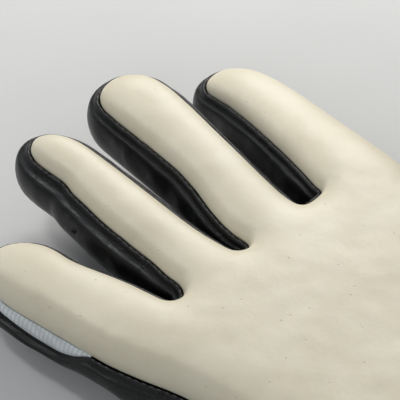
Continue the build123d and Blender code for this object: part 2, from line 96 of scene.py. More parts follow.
# ------------------------------------------------------------------ outline of the palm, one run round the hand
def build_outline():
    pts = [(-50.2, -118), (-50.2, -110), (-53.7, -95), (-58.7, -70), (-63.2, -45), (-67.9, -24), (-72.9, -10)]
    crotch = {
        ("little", "ring"): [(-51.0, 2.4), (-49.4, 0.4), (-47.0, -0.7), (-44.6, -0.2), (-43.2, 1.6)],
        ("ring", "middle"): [(-21.3, 2.9), (-20.4, 1.0), (-18.5, -0.3), (-16.2, -0.7), (-14.9, 0.4)],
        ("middle", "index"): [(8.3, 1.0), (9.3, -0.3), (11.8, -0.8), (15.2, -0.7), (17.8, -0.3), (19.0, 0.6), (19.4, 2.0)],
        ("index", "thumb"): [(46.2, -4), (45.2, -14), (40.8, -25), (33.4, -35), (27.8, -41.3), (24.5, -45.3), (22.7, -48.4), (23.4, -50.7), (25.6, -50.7)],
    }
    for i, n in enumerate(ORDER):
        f = FINGERS[n]
        for q in f["left"] + f["tip"] + f["right"]:
            pts.append(tuple(to_flat(f, *q)))
        if i + 1 < len(ORDER):
            pts += crotch[(n, ORDER[i + 1])]
    pts += [(38.8, -84.5), (35.4, -95), (33.2, -110), (33.2, -118)]
    return np.array(pts, float)


def catmull(pts, per=24):
    """Centripetal Catmull-Rom through the points."""
    P = np.vstack([2 * pts[0] - pts[1], pts, 2 * pts[-1] - pts[-2]])
    out = []
    for i in range(1, len(P) - 2):
        p0, p1, p2, p3 = P[i - 1], P[i], P[i + 1], P[i + 2]
        t0 = 0.0
        t1 = t0 + np.linalg.norm(p1 - p0) ** 0.5
        t2 = t1 + np.linalg.norm(p2 - p1) ** 0.5
        t3 = t2 + np.linalg.norm(p3 - p2) ** 0.5
        t = np.linspace(t1, t2, per, endpoint=False)[:, None]
        a1 = (t1 - t) / (t1 - t0) * p0 + (t - t0) / (t1 - t0) * p1
        a2 = (t2 - t) / (t2 - t1) * p1 + (t - t1) / (t2 - t1) * p2
        a3 = (t3 - t) / (t3 - t2) * p2 + (t - t2) / (t3 - t2) * p3
        b1 = (t2 - t) / (t2 - t0) * a1 + (t - t0) / (t2 - t0) * a2
        b2 = (t3 - t) / (t3 - t1) * a2 + (t - t1) / (t3 - t1) * a3
        out.append((t2 - t) / (t2 - t1) * b1 + (t - t1) / (t2 - t1) * b2)
    out.append(P[-2][None])
    return np.vstack(out)


def resample(curve, step):
    seg = np.linalg.norm(np.diff(curve, axis=0), axis=1)
    s = np.concatenate([[0], np.cumsum(seg)])
    n = int(round(s[-1] / step))
    t = np.linspace(0, s[-1], n + 1)
    return np.stack([np.interp(t, s, curve[:, k]) for k in range(2)], 1)


STEP = 0.8
curve = resample(catmull(build_outline()), 0.2)
# smooth lightly
for _ in range(12):
    curve[1:-1] = curve[1:-1] * 0.5 + 0.25 * (curve[:-2] + curve[2:])
WRIST = -110.0
inside = np.where(curve[:, 1] >= WRIST)[0]
full_curve = curve.copy()                       # runs on past the wrist, for distances
k0, k1 = inside[0], inside[-1]


def cross_y(a, b, y):
    t = (y - a[1]) / (b[1] - a[1])
    return a + (b - a) * t


curve = np.vstack([cross_y(curve[k0 - 1], curve[k0], WRIST), curve[k0:k1 + 1], cross_y(curve[k1], curve[k1 + 1], WRIST)])

# insert samples where the fingers are cut into pieces
CUTS = {}          # (finger, which cut, side) -> index


def insert_cuts(c):
    c = resample(c, STEP)
    rows = list(map(np.array, c))
    for n in ORDER:
        f = FINGERS[n]
        for k, yc in enumerate(f["cut"]):
            for side in (-1, 1):
                best, bx_ = None, 99.0
                for i in range(len(rows) - 1):
                    xa, ya = local(f, rows[i])
                    xb, yb = local(f, rows[i + 1])
                    if (ya - yc) * (yb - yc) <= 0 and ya != yb and abs(xa) < min(18, bx_) and xa * side > 0:
                        bx_ = abs(xa)
                        t = (yc - ya) / (yb - ya)
                        best = (i, rows[i] + (rows[i + 1] - rows[i]) * t, t)
                i, p, t = best
                if t < 0.25:
                    rows[i] = p
                elif t > 0.75:
                    rows[i + 1] = p
                else:
                    rows.insert(i + 1, p)
    return np.array(rows)


S = insert_cuts(curve)
N = len(S)
seg = np.linalg.norm(np.diff(S, axis=0), axis=1)
ARC = np.concatenate([[0], np.cumsum(seg)])
tan = np.gradient(S, ARC, axis=0)
tan /= np.linalg.norm(tan, axis=1)[:, None]
OUTN = np.stack([-tan[:, 1], tan[:, 0]], 1)     # outward: the run goes clockwise seen from +Z

for n in ORDER:
    f = FINGERS[n]
    for k, yc in enumerate(f["cut"]):
        for side in (-1, 1):
            x, y = local(f, S)
            ok = np.where((np.abs(y - yc) < 1e-6) & (np.abs(x) < 18) & (x * side > 0))[0]
            CUTS[(n, k, side)] = int(ok[np.argmin(np.abs(x[ok]))])


def region(points):
    """0 palm, else 10*finger+1 for base and +2 for tip."""
    out = np.zeros(len(points), int)
    best = np.full(len(points), 18.0)
    for i, n in enumerate(ORDER):
        f = FINGERS[n]
        x, y = local(f, points)
        sel = (y > f["cut"][0]) & (np.abs(x) < best) & (y < f["L"] + 8)
        out[sel] = 10 * (i + 1) + np.where(y[sel] > f["cut"][1], 2, 1)
        best[sel] = np.abs(x[sel])
    return out


SEG_REGION = region((S[:-1] + S[1:]) / 2)


def smooth01(x):
    x = np.clip(x, 0, 1)
    return x * x * (3 - 2 * x)


def lift(points):
    """Height that each finger's own tilt adds, zero on the palm."""
    z = np.zeros(len(points))
    best = np.full(len(points), 20.0)
    for n in ORDER:
        f = FINGERS[n]
        x, y = local(f, points)
        y0 = f["cut"][0]
        a = 10.0
        d = np.maximum(y - y0, 0)
        g = np.where(d < a, d * d / (2 * a), d - a / 2) * math.tan(math.radians(f["tilt"]))
        sel = (np.abs(x) < best) & (y > y0)
        z[sel] = g[sel]
        best[sel] = np.abs(x[sel])
    return z


# ------------------------------------------------------------------ smooth fields over the palm, by relaxation on a grid
H = 0.6
GX0, GY0 = -96.0, -126.0
NX, NY = int(200 / H), int(216 / H)
gx = GX0 + H * np.arange(NX)
gy = GY0 + H * np.arange(NY)
GXX, GYY = np.meshgrid(gx, gy, indexing="ij")


def distance(points, poly):
    """Distance to the poly's vertices and segments, chunked."""
    out = np.empty(len(points))
    a, b = poly[:-1], poly[1:]
    d = b - a
    dd = (d * d).sum(1)
    for i in range(0, len(points), 2000):
        p = points[i:i + 2000]
        # nearest vertex first, then its two segments
        q = ((p[:, None, 0] - poly[None, :, 0]) ** 2 + (p[:, None, 1] - poly[None, :, 1]) ** 2)
        j = q.argmin(1)
        best = np.sqrt(q[np.arange(len(p)), j])
        for k in (np.maximum(j - 1, 0), np.minimum(j, len(a) - 1)):
            t = np.clip(((p - a[k]) * d[k]).sum(1) / dd[k], 0, 1)
            r = np.linalg.norm(p - (a[k] + d[k] * t[:, None]), axis=1)
            best = np.minimum(best, r)
        out[i:i + 2000] = best
    return out


def inside_poly(points, poly):
    """Even-odd test of many points."""
    res = np.zeros(len(points), bool)
    x, y = points[:, 0], points[:, 1]
    for a, b in zip(poly, np.roll(poly, -1, axis=0)):
        if a[1] == b[1]:
            continue
        c = (a[1] > y) != (b[1] > y)
        xi = (b[0] - a[0]) * (y - a[1]) / (b[1] - a[1]) + a[0]
        res ^= c & (x < xi)
    return res


far = resample(full_curve, 0.8)
loop = np.vstack([far, [[33.2, -140]], [[-50.2, -140]]])
G = np.stack([GXX.ravel(), GYY.ravel()], 1)
inm = inside_poly(G, loop)
near = np.zeros(len(G), bool)
sd = np.where(inm, 99.0, -99.0)
# exact distance only near the edge
ix = np.clip(((far[:, 0] - GX0) / H).astype(int), 0, NX - 1)
iy = np.clip(((far[:, 1] - GY0) / H).astype(int), 0, NY - 1)
mask = np.zeros((NX, NY), bool)
for dx in range(-3, 4):
    for dy in range(-3, 4):
        mask[np.clip(ix + dx, 0, NX - 1), np.clip(iy + dy, 0, NY - 1)] = True
near = mask.ravel()
dn = distance(G[near], far)
sd[near] = np.where(inm[near], dn, -dn)
COVER = np.clip(0.5 + sd / H, 0, 1).reshape(NX, NY)


def relax(L, rounds):
    """Screened Poisson: 0 on the outline, rising to 1 over the length L."""
    u = COVER * 0.6
    k = H * H / (L * L)
    for _ in range(rounds):
        u[1:-1, 1:-1] = COVER[1:-1, 1:-1] * (0.25 * (u[:-2, 1:-1] + u[2:, 1:-1] + u[1:-1, :-2] + u[1:-1, 2:]) + k / 4) / (1 + k / 4)
        u[:, 0] = u[:, 1]
    return u


U1 = relax(7.0, 260)
U2 = relax(20.0, 900)


def sample(field, p):
    x = np.clip((p[:, 0] - GX0) / H, 0, NX - 1.001)
    y = np.clip((p[:, 1] - GY0) / H, 0, NY - 1.001)
    i, j = x.astype(int), y.astype(int)
    fx, fy = x - i, y - j
    return (field[i, j] * (1 - fx) * (1 - fy) + field[i + 1, j] * fx * (1 - fy) + field[i, j + 1] * (1 - fx) * fy + field[i + 1, j + 1] * fx * fy)


def value_noise(p, scale, seed):
    """Smooth noise in the plane or in space, seeded, about -1 to 1."""
    rng = np.random.default_rng(seed)
    n = 64
    table = rng.uniform(-1, 1, (n, n))
    q = np.asarray(p, float)[:, :2] / scale + 17.3
    i = np.floor(q).astype(int)
    f = q - i
    f = f * f * (3 - 2 * f)
    a = table[i[:, 0] % n, i[:, 1] % n]
    b = table[(i[:, 0] + 1) % n, i[:, 1] % n]
    c = table[i[:, 0] % n, (i[:, 1] + 1) % n]
    d = table[(i[:, 0] + 1) % n, (i[:, 1] + 1) % n]
    return (a * (1 - f[:, 0]) + b * f[:, 0]) * (1 - f[:, 1]) + (c * (1 - f[:, 0]) + d * f[:, 0]) * f[:, 1]


def front_height(p, d):
    """Height of the latex over the seam level; d is the distance to the outline."""
    e = np.sqrt(np.clip(1 - (1 - np.clip(d / 4.2, 0, 1)) ** 2, 0, 1))
    h = 2.5 * e + 3.7 * sample(U1, p) + 1.6 * sample(U2, p)
    grow = np.clip(d / 3.0, 0, 1)
    h += grow * (0.16 * value_noise(p, 11.0, 3) + 0.10 * value_noise(p, 5.0, 4))
    return h


def back_height(p, d):
    e = np.sqrt(np.clip(1 - (1 - np.clip(d / 4.0, 0, 1)) ** 2, 0, 1))
    h = 2.0 * e + 1.9 * sample(U1, p) + 1.9 * sample(U2, p)
    grow = np.clip(d / 3.0, 0, 1)
    return h + grow * 0.15 * value_noise(p, 12.0, 8)


def back_seam(p):
    """Level of the seam between the side walls and the backhand."""
    y = p[:, 1]
    base = -16.5 - 5.8 * smooth01((2.0 - y) / 17.0)
    x, yl = local(FINGERS["thumb"], p)
    t = smooth01((yl - 2) / 22.0) * (np.abs(x) < 22)
    return base * (1 - t) + (-16.5) * t


# ------------------------------------------------------------------ triangulation of the palm and fingers
def triangulate(outline, cuts, spacing=1.5):
    """Fine triangles inside the outline: rings near the edge, a hex grid further in, edges along the cuts."""
    pts = [outline]
    n = len(outline)
    cutpts = []
    cutedges = []
    total = n
    for a, b in cuts:
        m = max(2, int(np.linalg.norm(outline[b] - outline[a]) / 1.0))
        t = np.linspace(0, 1, m + 1)[1:-1, None]
        q = outline[a] + (outline[b] - outline[a]) * t
        ids = [a] + list(range(total, total + len(q))) + [b]
        cutedges += list(zip(ids[:-1], ids[1:]))
        cutpts.append(q)
        total += len(q)
    cutpts = np.vstack(cutpts) if cutpts else np.zeros((0, 2))
    t = np.roll(outline, -1, axis=0) - np.roll(outline, 1, axis=0)
    t /= np.linalg.norm(t, axis=1)[:, None]
    inn = np.stack([t[:, 1], -t[:, 0]], 1)
    rings = []
    for d in (0.3, 0.8, 1.5, 2.4, 3.5):
        q = outline + inn * d
        ok = inside_poly(q, outline)
        q = q[ok]
        dist = distance(q, np.vstack([outline, outline[:1]]))
        keep = dist > d * 0.93
        q = q[keep]
        if d > 2:
            q = q[::2] if d < 3 else q[::2]
        rings.append(q)
    xs = np.arange(outline[:, 0].min(), outline[:, 0].max(), spacing)
    ys = np.arange(outline[:, 1].min(), outline[:, 1].max(), spacing * 0.866)
    hx, hy = np.meshgrid(xs, ys, indexing="ij")
    hx = hx + (np.arange(len(ys)) % 2)[None, :] * spacing / 2
    hexp = np.stack([hx.ravel(), hy.ravel()], 1)
    hexp = hexp[inside_poly(hexp, outline)]
    hexp = hexp[distance(hexp, np.vstack([outline, outline[:1]])) > 4.3]
    inner = np.vstack(rings + [hexp])
    if len(cutpts):
        keep = np.ones(len(inner), bool)
        for i in range(0, len(inner), 2000):
            q = ((inner[i:i + 2000, None] - cutpts[None]) ** 2).sum(2).min(1)
            keep[i:i + 2000] = q > 0.45 ** 2
        inner = inner[keep]
    allp = np.vstack([outline, cutpts, inner])
    edges = [(i, (i + 1) % n) for i in range(n)] + cutedges
    v, e, fcs, _, _, _ = delaunay_2d_cdt([Vector(p) for p in allp], edges, [], 1, 1e-7)
    V = np.array([(q.x, q.y) for q in v])
    T = np.array([list(q) for q in fcs])
    a, b, c = V[T[:, 0]], V[T[:, 1]], V[T[:, 2]]
    area = (b[:, 0] - a[:, 0]) * (c[:, 1] - a[:, 1]) - (b[:, 1] - a[:, 1]) * (c[:, 0] - a[:, 0])
    T[area < 0] = T[area < 0][:, ::-1]
    T = T[np.abs(area) > 1e-6]
    return V, T


wn = int((33.2 + 50.2) / 0.9)
wrist_line = np.stack([np.linspace(S[-1, 0], S[0, 0], wn + 1)[1:-1], np.full(wn - 1, WRIST)], 1)
OUTLINE = np.vstack([S, wrist_line])
cuts = []
for nme in ORDER:
    for k in (0, 1):
        cuts.append((CUTS[(nme, k, -1)], CUTS[(nme, k, 1)]))
V2, T2 = triangulate(OUTLINE, cuts)
TREG = region(V2[T2].mean(1))
D2 = distance(V2, far)
print("outline", N, "triangles", len(T2), "vertices", len(V2))


# ------------------------------------------------------------------ mesh helpers
def vertex_normals(V, faces):
    nrm = np.zeros_like(V)
    for k in (3, 4):
        F = np.array([f for f in faces if len(f) == k])
        if not len(F):
            continue
        if k == 3:
            c = np.cross(V[F[:, 1]] - V[F[:, 0]], V[F[:, 2]] - V[F[:, 0]])
        else:
            c = np.cross(V[F[:, 2]] - V[F[:, 0]], V[F[:, 3]] - V[F[:, 1]])
        for j in range(k):
            np.add.at(nrm, F[:, j], c)
    ln = np.linalg.norm(nrm, axis=1)
    ln[ln == 0] = 1
    return nrm / ln[:, None]


COL = bpy.data.collections.new("visual")
bpy.context.scene.collection.children.link(COL)


def make_mesh(name, V_mm, faces, mats, fmat=None, normals=None, flat=None):
    """A mesh object from design millimetres; normals are per vertex; flat marks faces shaded flat."""
    me = bpy.data.meshes.new(name)
    V_mm = np.array(V_mm, float)
    V_mm[:, 2] = np.maximum(V_mm[:, 2], -30.48)      # what lies on the floor is flat there
    me.from_pydata([tuple(p) for p in M(V_mm)], [], [tuple(int(i) for i in f) for f in faces])
    for m in mats:
        me.materials.append(m)
    if fmat is not None:
        me.polygons.foreach_set("material_index", np.asarray(fmat, np.int32))
    sm = np.ones(len(faces), bool)
    if flat is not None:
        sm[np.asarray(flat, bool)] = False
    me.polygons.foreach_set("use_smooth", sm)
    me.update()
    if normals is not None:
        me.normals_split_custom_set_from_vertices([tuple(q) for q in normals])
    ob = bpy.data.objects.new(name, me)
    COL.objects.link(ob)
    return ob


def pick(V, faces, sel, normals=None):
    """The faces where sel is true, with their own vertices."""
    fs = [f for f, s in zip(faces, sel) if s]
    used = np.unique(np.concatenate([np.asarray(f) for f in fs]))
    remap = -np.ones(len(V), int)
    remap[used] = np.arange(len(used))
    out = [tuple(remap[list(f)]) for f in fs]
    return V[used], out, (None if normals is None else normals[used]), used


# ------------------------------------------------------------------ materials
def new_mat(name):
    m = bpy.data.materials.new(name)
    m.use_nodes = True
    nt = m.node_tree
    b = nt.nodes["Principled BSDF"]
    return m, nt, b


class NodeKit:
    """Short names for the nodes that the materials are made of."""

    def __init__(self, nt):
        self.nt = nt
        self.tc = nt.nodes.new("ShaderNodeTexCoord")
        self.obj = self.tc.outputs["Object"]

    def node(self, kind, **kw):
        n = self.nt.nodes.new(kind)
        for k, v in kw.items():
            setattr(n, k, v)
        return n

    def link(self, a, b):
        self.nt.links.new(a, b)

    def scaled(self, sx, sy=None, sz=None, rot=(0, 0, 0)):
        n = self.node("ShaderNodeMapping")
        n.inputs["Scale"].default_value = (sx, sy if sy is not None else sx, sz if sz is not None else sx)
        n.inputs["Rotation"].default_value = rot
        self.link(self.obj, n.inputs["Vector"])
        return n.outputs["Vector"]

    def noise(self, scale, detail=3.0, rough=0.55, vec=None, distortion=0.0):
        n = self.node("ShaderNodeTexNoise")
        n.inputs["Scale"].default_value = scale
        n.inputs["Detail"].default_value = detail
        n.inputs["Roughness"].default_value = rough
        n.inputs["Distortion"].default_value = distortion
        self.link(vec if vec is not None else self.obj, n.inputs["Vector"])
        return n.outputs["Fac"]

    def voronoi(self, scale, feature="F1", vec=None, out="Distance", rand=1.0):
        n = self.node("ShaderNodeTexVoronoi", feature=feature)
        n.inputs["Scale"].default_value = scale
        n.inputs["Randomness"].default_value = rand
        self.link(vec if vec is not None else self.obj, n.inputs["Vector"])
        return n.outputs[out]

    def wave(self, scale, direction="X", vec=None, distortion=0.0, profile="SIN"):
        n = self.node("ShaderNodeTexWave", bands_direction=direction, wave_profile=profile)
        n.inputs["Scale"].default_value = scale
        n.inputs["Distortion"].default_value = distortion
        self.link(vec if vec is not None else self.obj, n.inputs["Vector"])
        return n.outputs["Fac"]

    def math(self, op, a, b=None, c=None, clamp=False):
        n = self.node("ShaderNodeMath", operation=op, use_clamp=clamp)
        for i, v in enumerate((a, b, c)):
            if v is None:
                continue
            if isinstance(v, (int, float)):
                n.inputs[i].default_value = v
            else:
                self.link(v, n.inputs[i])
        return n.outputs[0]

    def ramp(self, fac, stops, interp="LINEAR"):
        n = self.node("ShaderNodeValToRGB")
        n.color_ramp.interpolation = interp
        while len(n.color_ramp.elements) < len(stops):
            n.color_ramp.elements.new(0.5)
        for e, (p, c) in zip(n.color_ramp.elements, stops):
            e.position = p
            e.color = (*c, 1) if len(c) == 3 else c
        self.link(fac, n.inputs["Fac"])
        return n.outputs["Color"]

    def range(self, v, a, b, c, d):
        n = self.node("ShaderNodeMapRange")
        n.inputs["From Min"].default_value = a
        n.inputs["From Max"].default_value = b
        n.inputs["To Min"].default_value = c
        n.inputs["To Max"].default_value = d
        self.link(v, n.inputs["Value"])
        return n.outputs["Result"]

    def mix(self, fac, a, b, kind="MIX"):
        n = self.node("ShaderNodeMix", data_type="RGBA", blend_type=kind)
        for sock, v in ((n.inputs["Factor"], fac), (n.inputs[6], a), (n.inputs[7], b)):
            if isinstance(v, (int, float)):
                sock.default_value = v
            elif isinstance(v, tuple):
                sock.default_value = (*v, 1) if len(v) == 3 else v
            else:
                self.link(v, sock)
        return n.outputs[2]

    def bump(self, height, strength, distance, normal=None):
        n = self.node("ShaderNodeBump")
        n.inputs["Strength"].default_value = strength
        n.inputs["Distance"].default_value = distance
        self.link(height, n.inputs["Height"])
        if normal is not None:
            self.link(normal, n.inputs["Normal"])
        return n.outputs["Normal"]


def latex_material():
    m, nt, b = new_mat("latex_foam")
    k = NodeKit(nt)
    broad = k.noise(38.0, 3, 0.5)
    fine = k.noise(900.0, 4, 0.6)
    col = k.ramp(broad, [(0.32, (0.676, 0.616, 0.468)), (0.52, (0.718, 0.660, 0.510)), (0.72, (0.748, 0.694, 0.550))])
    grime = k.noise(140.0, 5, 0.65)
    col = k.mix(k.range(grime, 0.52, 0.80, 0.0, 0.22), col, (0.640, 0.560, 0.410))
    # pinholes and specks of the foam: small cells darker in colour and sunk as pits by the bump, partly the foam's own
    # specks and partly painted shade in the pits
    cell = k.voronoi(310.0, out="Distance")
    pick_cell = k.node("ShaderNodeTexVoronoi", feature="F1")
    pick_cell.inputs["Scale"].default_value = 310.0
    k.link(k.obj, pick_cell.inputs["Vector"])
    sep = k.node("ShaderNodeSeparateColor")
    k.link(pick_cell.outputs["Color"], sep.inputs[0])
    some = k.math("GREATER_THAN", sep.outputs[0], 0.80)
    dot = k.range(cell, 0.06, 0.12, 1.0, 0.0)
    speck = k.math("MULTIPLY", dot, some, clamp=True)
    col = k.mix(k.math("MULTIPLY", speck, 0.34), col, (0.330, 0.275, 0.195))
    k.link(col, b.inputs["Base Color"])
    k.link(k.range(fine, 0.3, 0.7, 0.38, 0.50), b.inputs["Roughness"])
    b.inputs["Specular IOR Level"].default_value = 0.42
    b.inputs["Subsurface Weight"].default_value = 0.10
    b.inputs["Subsurface Radius"].default_value = (0.0030, 0.0018, 0.0010)
    b.inputs["Subsurface Scale"].default_value = 0.6
    b.inputs["Sheen Weight"].default_value = 0.08
    b.inputs["Sheen Roughness"].default_value = 0.5
    n1 = k.bump(k.noise(260.0, 4, 0.6), 0.13, 0.0006)
    n2 = k.bump(fine, 0.28, 0.00012, n1)
    n3 = k.bump(speck, 0.5, -0.0002, n2)
    k.link(n3, b.inputs["Normal"])
    return m


def leather_material(name, base, rough=(0.34, 0.5), grain=1.0, level=0.5):
    m, nt, b = new_mat(name)
    k = NodeKit(nt)
    warp = k.noise(600.0, 2, 0.5)
    cells = k.voronoi(1500.0, feature="DISTANCE_TO_EDGE")
    cells2 = k.voronoi(760.0, feature="F1")
    pebble = k.math("ADD", k.range(cells, 0.0, 0.12, 0.0, 1.0), k.math("MULTIPLY", cells2, 0.6))
    broad = k.noise(60.0, 4, 0.55)
    lo = tuple(c * 0.72 for c in base)
    hi = tuple(min(1, c * 1.38 + 0.001) for c in base)
    col = k.ramp(broad, [(0.30, lo), (0.55, base), (0.75, hi)])
    # painted shade: darker along the cell edges, the grain's grooves that the pebble bump sinks
    col = k.mix(k.range(cells, 0.0, 0.07, 0.45, 0.0), col, tuple(c * 0.45 for c in base))
    k.link(col, b.inputs["Base Color"])
    k.link(k.range(k.noise(170.0, 5, 0.6), 0.3, 0.7, rough[0], rough[1]), b.inputs["Roughness"])
    b.inputs["Specular IOR Level"].default_value = level
    n1 = k.bump(k.noise(210.0, 4, 0.6), 0.35 * grain, 0.0006)
    n2 = k.bump(pebble, 0.45 * grain, 0.00012, n1)
    n3 = k.bump(warp, 0.2 * grain, 0.0001, n2)
    k.link(n3, b.inputs["Normal"])
    return m


def thread_material(name, base):
    m, nt, b = new_mat(name)
    k = NodeKit(nt)
    tw = k.wave(900.0, "DIAGONAL")
    # painted shade in the twist's grooves and painted highlight on its crests, following the same wave as the bump
    col = k.ramp(tw, [(0.0, tuple(c * 0.6 for c in base)), (0.6, base), (1.0, tuple(min(1, c * 1.25) for c in base))])
    k.link(col, b.inputs["Base Color"])
    b.inputs["Roughness"].default_value = 0.55
    b.inputs["Sheen Weight"].default_value = 0.3
    k.link(k.bump(tw, 0.5, 0.00015), b.inputs["Normal"])
    return m


def cloth_material(name, base, pitch=0.8, rough=0.85, sheen=0.35, contrast=0.35, rib=None, depth=0.00018):
    """A knitted or woven cloth; pitch is the distance between its yarns in millimetres."""
    m, nt, b = new_mat(name)
    k = NodeKit(nt)
    s = 1000.0 / pitch / 6.2832 * 0.5 * 2
    wx = k.wave(s, "X", distortion=0.6)
    wy = k.wave(s * 0.8, "Y", distortion=0.6)
    wz = k.wave(s, "Z", distortion=0.6)
    weave = k.math("MULTIPLY", k.math("MAXIMUM", wx, wz), wy)
    weave = k.math("ADD", k.math("MULTIPLY", weave, 0.6), k.math("MULTIPLY", k.math("ADD", wx, wy), 0.25))
    broad = k.noise(45.0, 4, 0.6)
    dark = tuple(c * (1 - contrast) for c in base)
    light = tuple(min(1, c * (1 + contrast * 0.8) + 0.002) for c in base)
    # painted shade between the yarns and painted highlight on their crests, following the weave that the bump raises
    col = k.ramp(weave, [(0.15, dark), (0.55, base), (0.95, light)])
    col = k.mix(k.range(broad, 0.35, 0.7, 0.0, 0.30), col, dark)
    fluff = k.noise(1900.0, 3, 0.7)
    col = k.mix(k.range(fluff, 0.55, 0.8, 0.0, 0.35), col, light)
    k.link(col, b.inputs["Base Color"])
    k.link(k.range(fluff, 0.3, 0.7, rough - 0.08, min(1.0, rough + 0.08)), b.inputs["Roughness"])
    b.inputs["Sheen Weight"].default_value = sheen
    b.inputs["Sheen Roughness"].default_value = 0.45
    b.inputs["Specular IOR Level"].default_value = 0.3
    n1 = k.bump(weave, 0.7, depth)
    n2 = k.bump(fluff, 0.4, 0.0001, n1)
    k.link(n2, b.inputs["Normal"])
    return m


def rubber_material(name, base, rough=0.5):
    m, nt, b = new_mat(name)
    k = NodeKit(nt)
    broad = k.noise(50.0, 4, 0.6)
    fine = k.noise(1300.0, 4, 0.6)
    col = k.ramp(broad, [(0.3, tuple(c * 0.8 for c in base)), (0.7, tuple(min(1, c * 1.2) for c in base))])
    scuff = k.noise(420.0, 6, 0.75, distortion=0.8)
    col = k.mix(k.range(scuff, 0.60, 0.78, 0.0, 0.4), col, tuple(min(1, c * 2.2 + 0.01) for c in base))
    k.link(col, b.inputs["Base Color"])
    k.link(k.range(fine, 0.3, 0.7, rough - 0.1, rough + 0.12), b.inputs["Roughness"])
    n1 = k.bump(fine, 0.4, 0.0001)
    k.link(n1, b.inputs["Normal"])
    return m


MAT = {
    "latex": latex_material(),
    "leather": leather_material("black_synthetic_leather", (0.0019, 0.0020, 0.0024), rough=(0.26, 0.38), level=0.40),
    "back": leather_material("backhand_leather", (0.0085, 0.0087, 0.0095), rough=(0.42, 0.58), grain=1.2),
    # near-black matte rubber for the vent's floor: painted shade down the hole
    "vent_shade": rubber_material("vent_painted_shade", (0.0012, 0.0012, 0.0012), 0.9),
    "thread": thread_material("grey_thread", (0.075, 0.075, 0.078)),
    "thread_black": thread_material("black_thread", (0.02, 0.02, 0.022)),
    "strip": cloth_material("pale_strip_cloth", (0.62, 0.66, 0.67), pitch=0.7, rough=0.7, contrast=0.16, sheen=0.2, depth=0.0001),
    "liner": cloth_material("lining_knit", (0.035, 0.036, 0.040), pitch=0.9),
    "knit": cloth_material("cuff_knit", (0.018, 0.018, 0.020), pitch=0.75, rough=0.86, sheen=0.4),
    "binding": cloth_material("binding_tape", (0.022, 0.022, 0.024), pitch=0.55, rough=0.8, sheen=0.25),
    "strap": cloth_material("strap_cloth", (0.020, 0.020, 0.022), pitch=0.6, rough=0.78, sheen=0.3),
    "elastic": cloth_material("elastic_web", (0.026, 0.026, 0.028), pitch=0.65, rough=0.75),
    "loop": cloth_material("loop_pile", (0.016, 0.016, 0.017), pitch=0.45, rough=0.95, sheen=0.7, contrast=0.5, depth=0.0003),
    "hook": cloth_material("hook_tape", (0.020, 0.020, 0.021), pitch=0.9, rough=0.5, sheen=0.0, contrast=0.5, depth=0.0004),
    "webbing": cloth_material("webbing", (0.40, 0.41, 0.42), pitch=0.8, rough=0.75, contrast=0.25),
    "pad": rubber_material("punch_pad_rubber", (0.030, 0.031, 0.033), 0.52),
    "grip": rubber_material("grip_rubber", (0.20, 0.205, 0.21), 0.48),
}

# ------------------------------------------------------------------ latex shells
ROLL = np.zeros(N)
x, y = local(FINGERS["little"], S)
little_side = (x < 0) & (np.arange(N) < N // 3)
ROLL = np.maximum(ROLL, np.where(little_side, smooth01((56.5 - y) / 7.0), 0))
x, y = local(FINGERS["index"], S)
idx_zone = (x > 0) & (S[:, 0] > 25) & (SEG_REGION[np.minimum(np.arange(N), N - 2)] != 51) & (SEG_REGION[np.minimum(np.arange(N), N - 2)] != 52) & (y < 75) & (S[:, 1] > -44)
ROLL = np.maximum(ROLL, np.where(idx_zone & (x < 30), smooth01((66.0 - y) / 8.0) * smooth01((S[:, 1] + 42) / 12.0), 0))
last = (np.arange(N) > N * 0.8) & (S[:, 1] < -70)
ROLL = np.maximum(ROLL, np.where(last, smooth01((-84.0 - S[:, 1]) / 14.0), 0))
ker = np.ones(9) / 9
ROLL = np.convolve(np.pad(ROLL, 4, mode="edge"), ker, mode="valid")

# room for the gusset beside each sample
CLEAR = np.full(N, 30.0)
for i in range(0, N, 300):
    a = S[i:i + 300]
    d = S[None] - a[:, None]
    r = np.linalg.norm(d, axis=2)
    far_along = np.abs(ARC[None] - ARC[i:i + 300, None]) > 9
    facing = (d * OUTN[i:i + 300, None]).sum(2) > 0.35 * r
    r = np.where(far_along & facing, r, 99)
    CLEAR[i:i + 300] = np.minimum(CLEAR[i:i + 300], r.min(1))
# how far the side wall stands out: much on the ring finger's outer side, little elsewhere
CAP = np.full(N, 0.5)
for nme, lcap, rcap in (("little", 0.42, 0.42), ("ring", 1.0, 0.5), ("middle", 0.62, 0.45), ("index", 0.62, 0.42), ("thumb", 0.5, 0.5)):
    xq, yq = local(FINGERS[nme], S)
    regs = SEG_REGION[np.minimum(np.arange(N), N - 2)] // 10 == ORDER.index(nme) + 1
    mixx = smooth01((xq + 7.0) / 12.0)
    CAP = np.where(regs, lcap * (1 - mixx) + rcap * mixx, CAP)
AMP = np.clip((CLEAR / 2 - 0.35) / 6.5, 0.10, 1.0)
kx = np.gradient(tan[:, 0], ARC)
ky = np.gradient(tan[:, 1], ARC)
curv = tan[:, 0] * ky - tan[:, 1] * kx            # positive where the run turns left, as round a crotch
AMP = np.minimum(AMP, np.clip(0.75 / np.maximum(curv, 1e-3) / 6.5, 0.10, 1.0))
AMP = np.minimum(AMP, CAP)
k15 = np.ones(15) / 15
for _ in range(3):
    AMP = np.convolve(np.pad(AMP, 7, mode="edge"), k15, mode="valid")
AF = np.clip(AMP * 2.2, 0.42, 1.0)
AF = np.minimum(AF, np.clip(0.80 / np.maximum(np.convolve(np.pad(curv, 4, mode="edge"), np.ones(9) / 9, mode="valid"), 1e-3) / 2.6, 0.40, 1.0))
AF = np.convolve(np.pad(AF, 7, mode="edge"), k15, mode="valid")


def stand(o):
    """Outward distance of a profile point, with the room there is."""
    return np.minimum(o, 2.0) * AF + np.maximum(o - 2.0, 0) * AMP


LIFT_S = lift(S)
ZB = back_seam(S)
